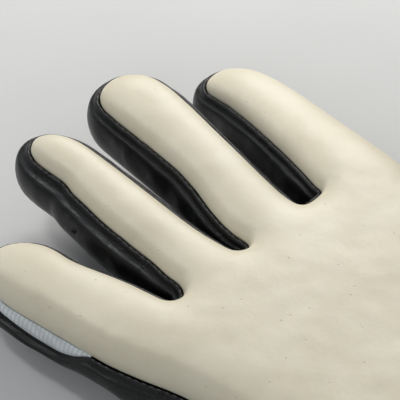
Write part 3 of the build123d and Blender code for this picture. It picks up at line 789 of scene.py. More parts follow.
# the pale strip beside the little finger
tipx, tipy = local(FINGERS["little"], S)
STRIPW = np.where((np.arange(N) < N // 3) & (S[:, 1] > 0), 5.7 * smooth01((S[:, 1] - 6.5) / 15.0) ** 0.75 * (1 - 0.38 * smooth01((S[:, 1] - 28.0) / 18.0)) * smooth01((54.5 - tipy) / 8.0), 0.0)
STRIPW[(tipx > 2) & (S[:, 1] > 0)] = 0
ZS = -8.0 * ROLL - STRIPW                        # where the gusset starts
ZB = ZB - 1.2 * np.clip(STRIPW / 5.0, 0, 1)
SEAMW = 0.14 * value_noise(np.stack([ARC, ARC * 0], 1), 7.0, 21) + 0.10 * value_noise(np.stack([ARC, ARC * 0], 1), 3.1, 22)

RIM0 = np.array([(0.0, 0.0), (-0.02, -0.25), (-0.06, -0.5), (-0.12, -0.75), (-0.18, -0.95), (-0.22, -1.1), (-0.24, -1.25)])
RIM1 = np.array([(0.0, 0.0), (0.28, -1.3), (0.42, -2.9), (0.40, -4.6), (0.22, -6.2), (-0.05, -7.5), (-0.20, -8.25)])
R = len(RIM0) - 1
nV = len(V2)
nO = len(OUTLINE)

z_top = front_height(V2, D2)
z_top[:N] = 0.0
lift_v = lift(V2)
roll_near = np.zeros(nV)
idx_near = np.zeros(nV, int)
for i in range(0, nV, 2000):
    q = ((V2[i:i + 2000, None] - S[None]) ** 2).sum(2)
    idx_near[i:i + 2000] = q.argmin(1)
roll_near = ROLL[idx_near]
P_top = np.column_stack([V2, z_top + lift_v])
z_un = -1.25 - 7.0 * roll_near * np.exp(-(D2 / 1.4) ** 2)
rim_pts = np.zeros((nO, R, 3))
for kk in range(1, R + 1):
    prof = RIM0[kk][None] * (1 - ROLL[:, None]) + RIM1[kk][None] * ROLL[:, None]
    o = prof[:, 0] + SEAMW * (1 - ROLL) * (kk / R)
    rim_pts[:N, kk - 1, :2] = S + OUTN * o[:, None]
    rim_pts[:N, kk - 1, 2] = prof[:, 1] + LIFT_S
    t = kk / R
    rim_pts[N:, kk - 1, :2] = OUTLINE[N:]
    rim_pts[N:, kk - 1, 2] = z_top[N:nO] * (1 - t) + -1.25 * t
P_un = np.column_stack([V2, z_un + lift_v])
# the underside's outline is the rim's last row
FV = np.vstack([P_top, rim_pts.reshape(-1, 3), P_un[nO:]])
FTAG = []
FACES = []
rid = lambda i, kk: i if kk == 0 else nV + i * R + (kk - 1)
uid = lambda v: nV + v * R + (R - 1) if v < nO else nV + nO * R + (v - nO)
for t, tag in zip(T2, TREG):
    FACES.append(tuple(int(q) for q in t))
    FTAG.append(tag)
for t, tag in zip(T2, TREG):
    FACES.append((uid(t[0]), uid(t[2]), uid(t[1])))
    FTAG.append(tag)
NREG = np.concatenate([SEG_REGION, np.zeros(nO - N + 1, int)])
for i in range(nO):
    j = (i + 1) % nO
    for kk in range(R):
        FACES.append((rid(i, kk), rid(j, kk), rid(j, kk + 1), rid(i, kk + 1)))
        FTAG.append(NREG[i] if i < N - 1 else 0)
FTAG = np.array(FTAG)
FNORM = vertex_normals(FV, FACES)
# caps where a finger is cut into pieces
edge_tags = {}
for t, tag in zip(T2, TREG):
    for a, b in ((t[0], t[1]), (t[1], t[2]), (t[2], t[0])):
        edge_tags.setdefault((min(a, b), max(a, b)), []).append((int(a), int(b), tag))
cap_faces, cap_tags = [], []
for e, l in edge_tags.items():
    if len(l) == 2 and l[0][2] != l[1][2]:
        for a, b, tag in l:
            cap_faces.append((a, uid(a), uid(b), b))
            cap_tags.append(tag)
for n in ORDER:
    for kcut in (0, 1):
        for side in (-1, 1):
            i = CUTS[(n, kcut, side)]
            loop_ = [rid(i, kk) for kk in range(R + 1)]
            # the segment before i and the one after it each close here
            for seg_i, rev in ((i - 1, False), (i, True)):
                tag = SEG_REGION[seg_i]
                for kk in range(1, R):
                    tri = (loop_[0], loop_[kk], loop_[kk + 1])
                    cap_faces.append(tri if not rev else tri[::-1])
                    cap_tags.append(tag)
ALLF = FACES + cap_faces
ALLT = np.concatenate([FTAG, np.array(cap_tags)])
PIECE = {}
NAME = {0: "palm"}
for i, n in enumerate(ORDER):
    NAME[10 * (i + 1) + 1] = n + "_base"
    NAME[10 * (i + 1) + 2] = n + "_tip"
for tag, nm in NAME.items():
    v, f, nr, used = pick(FV, ALLF, ALLT == tag, FNORM)
    PIECE[nm + "_front"] = make_mesh("glove_" + nm + "_latex", v, f, [MAT["latex"]], normals=nr)
print("front pieces made")

# ------------------------------------------------------------------ backhand shells
OFFB = stand(3.7)
push = np.clip(1 - D2 / 8.0, 0, 1) ** 2
VB = V2 + OUTN[idx_near] * (OFFB[idx_near] * push)[:, None]
VB[:N] = S + OUTN * OFFB[:, None]
VB[N:nO] = V2[N:nO]
zb_v = back_seam(V2)
zb_v[:N] = ZB
bh = back_height(V2, D2)
bh[:N] = 0.0


def groove(v, width, depth):
    return -depth * np.exp(-(v / width) ** 2)


# sewn channels: two across the back of each finger, and lines that run down the backhand
for n in ORDER:
    f = FINGERS[n]
    lx, ly = local(f, V2)
    on = (np.abs(lx) < 20) & (ly > -2) & (region(V2) // 10 == ORDER.index(n) + 1)
    for c in (f["c"][0] + 5.0, (f["c"][0] + f["c"][1]) / 2 + 1.5, f["c"][1] - 2.0, f["c"][1] + 6.0):
        bh += np.where(on & (D2 > 0.5), groove(ly - c + 0.02 * lx * lx, 0.8, 1.0), 0) * np.clip((D2 - 0.5) / 2.5, 0, 1)
PADPOLY = np.array([(-60, -50), (-64, -24), (-40, -17.5), (20, -17.5), (38, -24), (30, -48), (-15, -56)], float)
pl = np.vstack([PADPOLY, PADPOLY[:1]])
dense = resample(pl, 0.7)
dp = distance(V2, dense)
inpad = inside_poly(V2, dense)
bh += groove(np.where(inpad, 30, dp - 2.6), 0.8, 0.9) * np.clip(D2 / 3, 0, 1)
for xc, slope in ((-34.0, 0.10), (-9.0, 0.02), (16.0, -0.06)):
    lowpart = smooth01((-60.0 - V2[:, 1]) / 3.0) * smooth01((V2[:, 1] + 109.0) / 4.0)
    bh += groove(V2[:, 0] - xc - slope * (V2[:, 1] + 85), 0.9, 1.1) * lowpart
zt = zb_v - bh
zt = np.maximum(zt, np.where(V2[:, 1] > 6, -20.4, -28.4 + 8.0 * smooth01((V2[:, 1] + 8) / 14)))
zt = np.minimum(zt, zb_v + 0.01)
BV = np.vstack([
    np.column_stack([VB, zt + lift_v]),
    np.column_stack([VB, np.minimum(zb_v + 1.2, zt + 4.0) + lift_v]),
])
BF, BT = [], []
for t, tag in zip(T2, TREG):
    BF.append((int(t[0]), int(t[2]), int(t[1])))
    BT.append(tag)
for t, tag in zip(T2, TREG):
    BF.append((nV + int(t[0]), nV + int(t[1]), nV + int(t[2])))
    BT.append(tag)
for i in range(nO):
    j = (i + 1) % nO
    BF.append((i, nV + i, nV + j, j))
    BT.append(NREG[i] if i < N - 1 else 0)
BNORM = vertex_normals(BV, BF[:len(T2)])
BNORM[nV:] = (0, 0, 1)
for e, l in edge_tags.items():
    if len(l) == 2 and l[0][2] != l[1][2]:
        for a, b, tag in l:
            BF.append((a, b, nV + b, nV + a))
            BT.append(tag)
BT = np.array(BT)
for tag, nm in NAME.items():
    v, f, nr, used = pick(BV, BF, BT == tag, BNORM)
    PIECE[nm + "_back"] = make_mesh("glove_" + nm + "_back", v, f, [MAT["back"]], normals=nr)
print("back pieces made")


# ------------------------------------------------------------------ side walls with folded edges and stitches
FOLD = np.array([(0.10, -1.05), (0.28, -0.62), (0.58, -0.30), (0.98, -0.17), (1.38, -0.30), (1.74, -0.68), (2.00, -1.25)])
WALL = np.array([(2.25, 0.030), (2.90, 0.058), (3.60, 0.078), (4.20, 0.086), (4.75, 0.105), (5.30, 0.150), (5.80, 0.215), (6.20, 0.310), (6.42, 0.41), (6.50, 0.51),
                 (6.38, 0.61), (6.05, 0.71), (5.60, 0.80), (5.00, 0.88), (4.40, 0.945), (3.95, 0.980), (3.70, 1.0)])


def wall_rows():
    """Outer rows of the side wall for every outline sample: (N, rows, 3)."""
    nr = len(FOLD) + len(WALL)
    out = np.zeros((N, nr, 3))
    for q, (o, z) in enumerate(FOLD):
        oo = stand(o) - 0.12 * ROLL
        out[:, q, :2] = S + OUTN * (oo + SEAMW * (1 - ROLL))[:, None]
        out[:, q, 2] = z + ZS + LIFT_S + 0.10 * value_noise(np.stack([ARC, ARC * 0 + q * 0.4], 1), 4.0, 31)
    z0 = -1.25 + ZS
    pleat = value_noise(np.stack([ARC, ARC * 0], 1), 5.2, 41)
    pleat2 = value_noise(np.stack([ARC, ARC * 0], 1), 2.6, 43)
    for q, (o, t) in enumerate(WALL):
        r = len(FOLD) + q
        sway = np.sin(math.pi * min(t * 1.25, 1.0))
        ridge = math.exp(-((t - 0.09) / 0.035) ** 2)
        wob = 0.42 * sway * value_noise(np.stack([ARC + 4 * t, np.full(N, t * 11)], 1), 7.5, 42) + 0.16 * sway * pleat + 0.10 * sway * pleat2 * (1 + 2 * (curv > 0.12))
        oo = stand(o) + wob * np.clip(AMP * 1.6, 0.25, 1.0)
        # the wall curls back to the seam line where the finger meets the back
        out[:, r, :2] = S + OUTN * oo[:, None]
        out[:, r, 2] = z0 + t * (ZB - z0) + LIFT_S + ridge * (0.14 * value_noise(np.stack([ARC, ARC * 0 + 3], 1), 9.0, 45) + 0.06 * pleat2)
    return out


def grid_normals(rows):
    """Outward normals of a grid of rows along the outline."""
    d1 = np.gradient(rows, axis=0)
    d2 = np.gradient(rows, axis=1)
    n_ = np.cross(d1, d2)
    ln = np.linalg.norm(n_, axis=2)
    ln[ln < 1e-9] = 1
    return n_ / ln[..., None]


OUT_ROWS = wall_rows()
NR = OUT_ROWS.shape[1]
# inner rows, 1.2 mm inside the outer ones
INN_ROWS = OUT_ROWS.copy()
for q in range(NR):
    if q < len(FOLD):
        INN_ROWS[:, q, :2] = S + OUTN * (stand(-0.05 + 0.14 * q) - 0.10 * ROLL)[:, None]
        INN_ROWS[:, q, 2] = -1.60 - 0.10 * q + ZS + LIFT_S
    else:
        o, t = WALL[q - len(FOLD)]
        INN_ROWS[:, q, :2] = S + OUTN * stand(max(o - 1.3, 0.8))[:, None]
        INN_ROWS[:, q, 2] = OUT_ROWS[:, q, 2] - 0.9 * math.exp(-(t / 0.12) ** 2)


def stitches(i0, i1, s_from, s_to, off=0.98, dz=0.03, pitch=2.65, half=0.78, rad=0.20, path=None):
    """Short thread capsules along a stretch of the outline, as (vertices, quads)."""
    vs, fs = [], []
    first = math.ceil(s_from / pitch)
    for c in range(first, int(s_to / pitch) + 1):
        s0 = c * pitch
        if s0 - half < s_from or s0 + half > s_to:
            continue
        i = int(np.clip(np.searchsorted(ARC, s0), 1, N - 1))
        t = (s0 - ARC[i - 1]) / (ARC[i] - ARC[i - 1])
        p = S[i - 1] * (1 - t) + S[i] * t
        nrm = OUTN[i - 1] * (1 - t) + OUTN[i] * t
        tn = tan[i - 1] * (1 - t) + tan[i] * t
        am = AF[i]
        roll = ROLL[i]
        jit = value_noise(np.array([[s0 * 3.7, 0.0]]), 2.0, 77)[0]
        base = p + nrm * (off * am - 0.12 * roll + SEAMW[i] * (1 - roll) + 0.06 * jit)
        ang = 0.10 * jit
        tn = tn + nrm * ang
        tn /= np.linalg.norm(tn)
        slope = (LIFT_S[min(i + 1, N - 1)] - LIFT_S[i - 1]) / max(ARC[min(i + 1, N - 1)] - ARC[i - 1], 1e-6)
        z = -0.16 + dz + ZS[i] + LIFT_S[i]
        t3 = np.array([tn[0], tn[1], slope])
        t3 /= np.linalg.norm(t3)
        n3 = np.array([nrm[0], nrm[1], 0.0])
        u3 = np.cross(t3, n3)
        if u3[2] < 0:
            u3 = -u3
        rows = []
        hl = half * (1 + 0.1 * jit)
        for a, rr, sink in ((-1.0, 0.15, -0.22), (-0.82, 0.72, -0.10), (-0.4, 1.0, 0.0), (0.4, 1.0, 0.0), (0.82, 0.72, -0.10), (1.0, 0.15, -0.22)):
            ring = []
            for b in range(6):
                th = b * math.pi / 3
                ring.append(np.array([base[0], base[1], z]) + t3 * (a * hl) + n3 * (math.cos(th) * rad * rr) + u3 * (math.sin(th) * rad * rr + sink))
            rows.append(ring)
        b0 = len(vs)
        for ring in rows:
            vs.extend(ring)
        for a in range(5):
            for b in range(6):
                c2 = (b + 1) % 6
                fs.append((b0 + a * 6 + b, b0 + a * 6 + c2, b0 + (a + 1) * 6 + c2, b0 + (a + 1) * 6 + b))
        fs.append(tuple(b0 + b for b in range(5, -1, -1)))
        fs.append(tuple(b0 + 30 + b for b in range(6)))
    return vs, fs


def wall_piece(name, runs, outer, inner, mats, sew=True):
    """One closed strip per run of outline samples (i0..i1), with its stitches."""
    vs, fs, fm = [], [], []
    nr = outer.shape[1]
    for i0, i1 in runs:
        base = len(vs)
        L = 2 * nr
        for i in range(i0, i1 + 1):
            vs.extend(outer[i])
            vs.extend(inner[i][::-1])
        m = i1 - i0
        for a in range(m):
            for b in range(L):
                c = (b + 1) % L
                fs.append((base + a * L + b, base + (a + 1) * L + b, base + (a + 1) * L + c, base + a * L + c))
                fm.append(0)
        for a, rev in ((0, False), (m, True)):
            for q in range(nr - 1):
                f = (base + a * L + q, base + a * L + q + 1, base + a * L + (L - 2 - q), base + a * L + (L - 1 - q))
                fs.append(f if not rev else f[::-1])
                fm.append(0)
    V = np.array(vs)
    GO = grid_normals(outer)
    nn = []
    for i0, i1 in runs:
        for i in range(i0, i1 + 1):
            nn.extend(GO[i])
            nn.extend(-GO[i][::-1])
    NRM = np.array(nn)
    if sew:
        for i0, i1 in runs:
            sv, sf = stitches(i0, i1, ARC[i0], ARC[i1])
            if not sv:
                continue
            b0 = len(V)
            sv = np.array(sv)
            sf = [tuple(q + b0 for q in f) for f in sf]
            V2_ = np.vstack([V, sv])
            n2 = vertex_normals(V2_, sf)
            NRM = np.vstack([NRM, n2[b0:]])
            V = V2_
            fs += sf
            fm += [1] * len(sf)
    return make_mesh(name, V, fs, mats, fm, normals=NRM)


def runs_where(mask):
    """Runs of consecutive segments where mask is true, as (first sample, last sample)."""
    out = []
    i = 0
    while i < len(mask):
        if mask[i]:
            j = i
            while j < len(mask) and mask[j]:
                j += 1
            out.append((i, j))
            i = j
        else:
            i += 1
    return out


# the palm's own side walls are split where the real panels meet
PART_AT = np.zeros(N - 1, int)
mid = (S[:-1] + S[1:]) / 2
seg_i = np.arange(N - 1)
first_little = CUTS[("little", 0, -1)]
palm_runs = runs_where(SEG_REGION == 0)
WALLS = []
for nm_tag, nm in NAME.items():
    if nm_tag == 0:
        continue
    WALLS.append((nm + "_gusset", runs_where(SEG_REGION == nm_tag)))
labels = ["little_side_panel", "crotch_gusset_ring_little", "crotch_gusset_middle_ring", "crotch_gusset_index_middle", "web", "thumb_side_panel"]
print("palm runs", len(palm_runs), palm_runs)
# stretches only a sample or two apart belong to one panel
groups = []
for run in palm_runs:
    if groups and run[0] - groups[-1][-1][1] <= 3:
        groups[-1].append(run)
    else:
        groups.append([run])
assert len(groups) == len(labels), groups
for lab, group in zip(labels, groups):
    if lab == "web":
        i0, i1 = group[0][0], group[-1][1]
        ys = S[i0:i1 + 1, 1]
        cut_i = i0 + int(np.argmin(np.abs(ys + 27.0)))
        WALLS.append(("index_side_panel", [(i0, cut_i)]))
        WALLS.append(("thumb_web_gusset", [(cut_i, i1)]))
    else:
        WALLS.append((lab, group))
for nm, runs in WALLS:
    PIECE[nm] = wall_piece("glove_" + nm, runs, OUT_ROWS, INN_ROWS, [MAT["leather"], MAT["thread"]])


# a small round vent on the ring finger's wall, a pressed rim round a shallow well whose floor is painted near black as
# the shade down the hole
def vent_piece(name, at):
    away = np.linalg.norm(OUT_ROWS - np.array(at)[None, None, :], axis=2)
    away[:, :len(FOLD) + 1] = 1e9
    i, q = np.unravel_index(int(np.argmin(away)), away.shape)
    n = grid_normals(OUT_ROWS)[i, q]
    n = n / np.linalg.norm(n)
    u = OUT_ROWS[i + 1, q] - OUT_ROWS[i - 1, q]
    u = u - n * float(u @ n)
    u /= np.linalg.norm(u)
    v = np.cross(n, u)
    c = OUT_ROWS[i, q]
    prof = [(0.0, 0.05), (0.50, 0.05), (0.60, 0.10), (0.66, 0.24), (0.76, 0.34), (0.90, 0.34), (1.02, 0.20), (1.10, -0.06), (0.96, -0.34), (0.0, -0.40)]
    steps = 28
    vs, fs, fm = [c + n * prof[0][1]], [], []
    for r, h in prof[1:-1]:
        for a in range(steps):
            th = 2 * math.pi * a / steps
            vs.append(c + u * (r * math.cos(th)) + v * (r * math.sin(th)) + n * h)
    vs.append(c + n * prof[-1][1])
    rings = len(prof) - 2
    for a in range(steps):
        b = (a + 1) % steps
        fs.append((0, 1 + a, 1 + b))
        fm.append(1)
        for k_ in range(rings - 1):
            r0, r1 = 1 + k_ * steps, 1 + (k_ + 1) * steps
            fs.append((r0 + a, r1 + a, r1 + b, r0 + b))
            fm.append(1 if k_ <= 1 else 0)
        last = 1 + (rings - 1) * steps
        fs.append((last + a, len(vs) - 1, last + b))
        fm.append(0)
    # material 1 on the well's floor and lowest rings is the painted shade of the hole
    return make_mesh(name, np.array(vs), fs, [MAT["leather"], MAT["vent_shade"]], fm)


PIECE["ring_vent"] = vent_piece("ring_vent_eyelet", (-48.8, 48.06, -4.9))
print("side walls made")

# the pale strip beside the little finger
so = np.zeros((N, 7, 3))
si = np.zeros((N, 7, 3))
for q, t in enumerate(np.linspace(0, 1, 7)):
    zz = -8.0 * ROLL - 0.05 - t * (STRIPW + 0.55)
    o = 0.0 + 1.5 * np.sin(math.pi * min(1, 0.06 + t * 0.74)) * np.clip(STRIPW / 3.0, 0, 1) + 0.15 * t
    so[:, q, :2] = S + OUTN * (o * np.ones(N))[:, None]
    so[:, q, 2] = zz + LIFT_S
    si[:, q, :2] = S + OUTN * ((o - 0.7) * np.ones(N))[:, None]
    si[:, q, 2] = zz + LIFT_S - 0.1
strip_on = STRIPW[:-1] > 0.12
for tag, nm in ((0, "little_side_strip"), (11, "little_base_side_panel"), (12, "little_tip_side_panel")):
    rr = runs_where(strip_on & (SEG_REGION == tag))
    if not rr:
        continue
    PIECE[nm] = wall_piece("glove_" + nm, rr, so, si, [MAT["strip"]], sew=False)

# ------------------------------------------------------------------ camera, light and floor
cam_d = bpy.data.cameras.new("camera")
cam_d.lens = 177.84
cam_d.sensor_width = 36.0
cam_d.clip_start = 0.01
cam = bpy.data.objects.new("camera", cam_d)
bpy.context.scene.collection.objects.link(cam)
fwd = Vector((0.4631, 0.4830, -0.7431)).normalized()
target = Vector((-0.018601, 0.082591, 0.0305))
cam.location = target - fwd * 0.650
cam.rotation_euler = fwd.to_track_quat("-Z", "Y").to_euler()
bpy.context.scene.camera = cam
right = Vector((0.722, -0.692, 0.0))
upv = right.cross(fwd)


def area_light(name, place, aim, size, power, colour=(1, 1, 1), size_y=None):
    d = bpy.data.lights.new(name, "AREA")
    d.shape = "RECTANGLE" if size_y else "SQUARE"
    d.size = size
    if size_y:
        d.size_y = size_y
    d.energy = power
    d.color = colour
    o = bpy.data.objects.new(name, d)
    o.location = place
    o.rotation_euler = (Vector(aim) - Vector(place)).to_track_quat("-Z", "Y").to_euler()
    bpy.context.scene.collection.objects.link(o)
    return o


centre = Vector((-0.010, 0.075, 0.030))
key_dir = Vector((0.66, 0.48, 0.58)).normalized()
area_light("key", centre + key_dir * 0.66, centre, 0.34, 3.75, (1.0, 0.985, 0.955))
area_light("fill", centre + Vector((-0.75, -0.55, 0.60)), centre, 0.7, 3.0, (0.93, 0.97, 1.0))
area_light("far", centre + Vector((-0.25, 0.85, 0.60)), centre, 0.6, 1.6, (0.92, 0.96, 1.0))
area_light("kicker", centre + Vector((-0.17, 0.32, 0.68)), centre, 0.11, 1.0, (0.98, 0.99, 1.0))
bpy.context.scene.view_settings.view_transform = "Standard"

world = bpy.data.worlds.new("studio") if not bpy.context.scene.world else bpy.context.scene.world
bpy.context.scene.world = world
world.use_nodes = True
bg = world.node_tree.nodes.get("Background") or world.node_tree.nodes.new("ShaderNodeBackground")
bg.inputs[0].default_value = (0.92, 0.95, 1.0, 1)
bg.inputs[1].default_value = 0.15

fm_, fnt, fb = new_mat("pale_floor")
kf = NodeKit(fnt)
kf.link(kf.ramp(kf.noise(6.0, 3, 0.5), [(0.3, (0.60, 0.60, 0.59)), (0.7, (0.66, 0.66, 0.65))]), fb.inputs["Base Color"])
fb.inputs["Roughness"].default_value = 0.85
floor_me = bpy.data.meshes.new("floor")
floor_me.from_pydata([(-3, -3, -0.0002), (3, -3, -0.0002), (3, 3, -0.0002), (-3, 3, -0.0002)], [], [(0, 1, 2, 3)])
floor_me.materials.append(fm_)
floor = bpy.data.objects.new("floor", floor_me)
bpy.context.scene.collection.objects.link(floor)


# ------------------------------------------------------------------ threads along any path
def thread_run(path, normal, pitch=2.6, half=0.9, rad=0.25, sink=0.1):
    """Stitches along a 3-D path in design millimetres; normal is one vector or one per point."""
    path = np.asarray(path, float)
    normal = np.broadcast_to(np.asarray(normal, float), path.shape)
    seg_ = np.linalg.norm(np.diff(path, axis=0), axis=1)
    s_ = np.concatenate([[0], np.cumsum(seg_)])
    vs, fs = [], []
    for c in np.arange(half + 0.2, s_[-1] - half - 0.1, pitch):
        def at(v):
            return np.array([np.interp(v, s_, path[:, q]) for q in range(3)])
        p = at(c)
        t3 = at(c + half) - at(c - half)
        t3 /= np.linalg.norm(t3)
        n3 = np.array([np.interp(c, s_, normal[:, q]) for q in range(3)])
        n3 -= t3 * (n3 @ t3)
        n3 /= np.linalg.norm(n3)
        b3 = np.cross(t3, n3)
        b0 = len(vs)
        for a, rr, sk in ((-1.0, 0.15, 0.22), (-0.8, 0.75, 0.08), (-0.3, 1.0, 0.0), (0.3, 1.0, 0.0), (0.8, 0.75, 0.08), (1.0, 0.15, 0.22)):
            for b in range(6):
                th = b * math.pi / 3
                vs.append(p + t3 * a * half + b3 * math.cos(th) * rad * rr + n3 * (math.sin(th) * rad * rr - sk + rad * 0.5 - sink))
        for a in range(5):
            for b in range(6):
                c2 = (b + 1) % 6
                fs.append((b0 + a * 6 + b, b0 + (a + 1) * 6 + b, b0 + (a + 1) * 6 + c2, b0 + a * 6 + c2))
        fs.append(tuple(b0 + b for b in range(6)))
        fs.append(tuple(b0 + 30 + b for b in range(5, -1, -1)))
    return vs, fs


def thread_piece(name, paths, mat, **kw):
    vs, fs = [], []
    for path, normal in paths:
        v, f = thread_run(path, normal, **kw)
        fs += [tuple(q + len(vs) for q in g) for g in f]
        vs += v
    return make_mesh(name, np.array(vs), fs, [mat])


def weld(ob, dist=1e-6):
    import bmesh
    bm = bmesh.new()
    bm.from_mesh(ob.data)
    bmesh.ops.remove_doubles(bm, verts=bm.verts, dist=dist)
    bmesh.ops.dissolve_degenerate(bm, dist=1e-7, edges=bm.edges)
    bmesh.ops.recalc_face_normals(bm, faces=bm.faces)
    bm.to_mesh(ob.data)
    bm.free()
    for p in ob.data.polygons:
        p.use_smooth = True


def loft(name, loops, mats, closed=True, cap=True, fmat=None):
    """Loops of equal length joined in order into one closed skin."""
    loops = [np.asarray(l, float) for l in loops]
    L = len(loops[0])
    V = np.vstack(loops)
    fs = []
    for a in range(len(loops) - 1):
        for b in range(L if closed else L - 1):
            c = (b + 1) % L
            fs.append((a * L + b, a * L + c, (a + 1) * L + c, (a + 1) * L + b))
    if cap:
        for a, rev in ((0, True), (len(loops) - 1, False)):
            for b in range(L // 2 - 1):
                f = (a * L + b, a * L + b + 1, a * L + (L - 2 - b), a * L + (L - 1 - b))
                fs.append(f[::-1] if rev else f)
    ob = make_mesh(name, V, fs, mats)
    import bmesh
    bm = bmesh.new()
    bm.from_mesh(ob.data)
    bmesh.ops.recalc_face_normals(bm, faces=bm.faces)
    bm.to_mesh(ob.data)
    bm.free()
    return ob


# ------------------------------------------------------------------ cuff
CX = -9.0


def rr_loop(hw, z0, z1, r, n=40):
    """Rounded rectangle as a dense closed run from its top middle, towards +x first."""
    pts = [(0.0, z1)]
    for (px, pz, a0) in ((hw - r, z1 - r, 90), (hw - r, z0 + r, 0), (-(hw - r), z0 + r, -90), (-(hw - r), z1 - r, -180)):
        for a in np.linspace(a0, a0 - 90, n):
            pts.append((px + r * math.cos(math.radians(a)), pz + r * math.sin(math.radians(a))))
    pts.append((0.0, z1))
    return resample(np.array(pts), 0.5)


CZ = -11.1


def radial(loop_, th):
    """Distance from the cuff's middle to a closed run of (x, z), at the angles th."""
    d = loop_ - np.array([0.0, CZ])
    a = np.arctan2(d[:, 0], d[:, 1])              # 0 at the top, growing towards +x
    r = np.hypot(d[:, 0], d[:, 1])
    order = np.argsort(a)
    a, r = a[order], r[order]
    a = np.concatenate([a - 2 * math.pi, a, a + 2 * math.pi])
    r = np.concatenate([r, r, r])
    thw = (th + math.pi) % (2 * math.pi) - math.pi
    return np.interp(thw, a, r)


# the hand's own section at the wrist
wr = np.vstack([
    np.column_stack([S[0, 0:1], [0.0]]),
    np.column_stack([OUTLINE[N:][::-1, 0], z_top[N:nO][::-1]]),
    np.column_stack([S[-1, 0:1], [0.0]]),
    OUT_ROWS[-1][len(FOLD):, [0, 2]],
    np.column_stack([VB[N:nO, 0], zt[N:nO]]),
    OUT_ROWS[0][len(FOLD):, [0, 2]][::-1],
])
wr[:, 0] -= CX
NCOL = 480
base_loop = rr_loop(42.0, -28.2, 6.0, 14.0)
bs = np.concatenate([[0], np.cumsum(np.linalg.norm(np.diff(base_loop, axis=0), axis=1))])
PERIM = bs[-1]
u = np.linspace(0, PERIM, NCOL + 1)
bx = np.interp(u, bs, base_loop[:, 0])
bz = np.interp(u, bs, base_loop[:, 1])
TH = np.arctan2(bx, bz - CZ)
TH[0], TH[-1] = 0.0, 0.0
R_HAND = radial(wr, TH)
R_HAND = np.convolve(np.pad(R_HAND, 5, mode="wrap"), np.ones(11) / 11, mode="valid")


def slit_half(y_):
    return 0.0 if y_ > -122 else 3.0 * smooth01((-122 - y_) / 3.0) + 8.0 * (-122 - y_) / 56.0


def cuff_section(y_, inset=0.0, ribs=1.0):
    t = np.clip((-152 - y_) / 26.0, 0, 1)
    hw, za, zb, r = 42 + 6 * t, -28.2 - 1.6 * t, 6 + 2 * t, 14 + t
    rc = radial(rr_loop(hw, za, zb, r), TH)
    b = smooth01((-110 - y_) / 9.0)
    r_ = R_HAND * (1 - b) + rc * b
    waist = -0.9 * math.exp(-((y_ + 116.0) / 4.5) ** 2)
    rib = 0.36 * np.cos(2 * math.pi * u / PERIM * 92) * smooth01((-111.5 - y_) / 2.0) * ribs
    fold = 0.30 * value_noise(np.column_stack([u, np.full(len(u), y_)]), 17.0, 55) * smooth01((-112 - y_) / 8.0)
    fold[0] = fold[-1] = 0.5 * (fold[0] + fold[-1])
    r_ = r_ + rib + waist + fold - inset - 0.35
    xs = np.sin(TH) * r_
    zs = np.cos(TH) * r_ + CZ
    h = slit_half(y_)
    near = np.clip(1 - np.abs(xs) / 30.0, 0, 1)
    sgn = np.ones(len(u))
    sgn[len(u) // 2:] = -1
    top_ = zs > 0
    xs = np.where(top_, xs + sgn * h * near, xs)
    return np.column_stack([xs + CX, np.full(len(u), y_), zs])


ys_c = np.concatenate([[-109.9, -110.6, -111.5], np.arange(-113, -177.6, -1.9), [-178.0]])
outer = [cuff_section(y_) for y_ in ys_c]
inner = [cuff_section(y_, inset=3.1 if y_ < -112 else 1.2, ribs=0.35) for y_ in ys_c]
C1 = NCOL + 1
Vc = np.vstack(outer + inner)
nr_ = len(ys_c)
fc = []
oi = lambda a, b: a * C1 + b
ii = lambda a, b: nr_ * C1 + a * C1 + b
for a in range(nr_ - 1):
    for b in range(NCOL):
        fc.append((oi(a, b), oi(a + 1, b), oi(a + 1, b + 1), oi(a, b + 1)))
        fc.append((ii(a, b), ii(a, b + 1), ii(a + 1, b + 1), ii(a + 1, b)))
for b in range(NCOL):
    fc.append((oi(0, b), oi(0, b + 1), ii(0, b + 1), ii(0, b)))
    fc.append((oi(nr_ - 1, b), ii(nr_ - 1, b), ii(nr_ - 1, b + 1), oi(nr_ - 1, b + 1)))
for a in range(nr_ - 1):
    if slit_half(ys_c[a + 1]) > 0:
        fc.append((oi(a, 0), ii(a, 0), ii(a + 1, 0), oi(a + 1, 0)))
        fc.append((oi(a, NCOL), oi(a + 1, NCOL), ii(a + 1, NCOL), ii(a, NCOL)))
PIECE["cuff"] = make_mesh("cuff_knit", Vc, fc, [MAT["knit"]])
weld(PIECE["cuff"], 1e-7)

# piping where the hand meets the cuff
ring = []
for b in range(0, NCOL + 1, 2):
    r_ = R_HAND[b] - 0.15
    c = np.array([math.sin(TH[b]) * r_ + CX, -110.4, math.cos(TH[b]) * r_ + CZ])
    out_ = np.array([math.sin(TH[b]), 0, math.cos(TH[b])])
    ring.append([c + out_ * 0.75 * math.cos(a) + np.array([0, 1, 0]) * 1.15 * math.sin(a) for a in np.linspace(0, 2 * math.pi, 12, endpoint=False)])
ring = ring[:-1]
L = 12
Vr = np.array([p for r_ in ring for p in r_])
fr = []
for a in range(len(ring)):
    a2 = (a + 1) % len(ring)
    for b in range(L):
        fr.append((a * L + b, a * L + (b + 1) % L, a2 * L + (b + 1) % L, a2 * L + b))
PIECE["wrist_piping"] = make_mesh("wrist_piping", Vr, fr, [MAT["binding"]])
weld(PIECE["wrist_piping"], 1e-8)

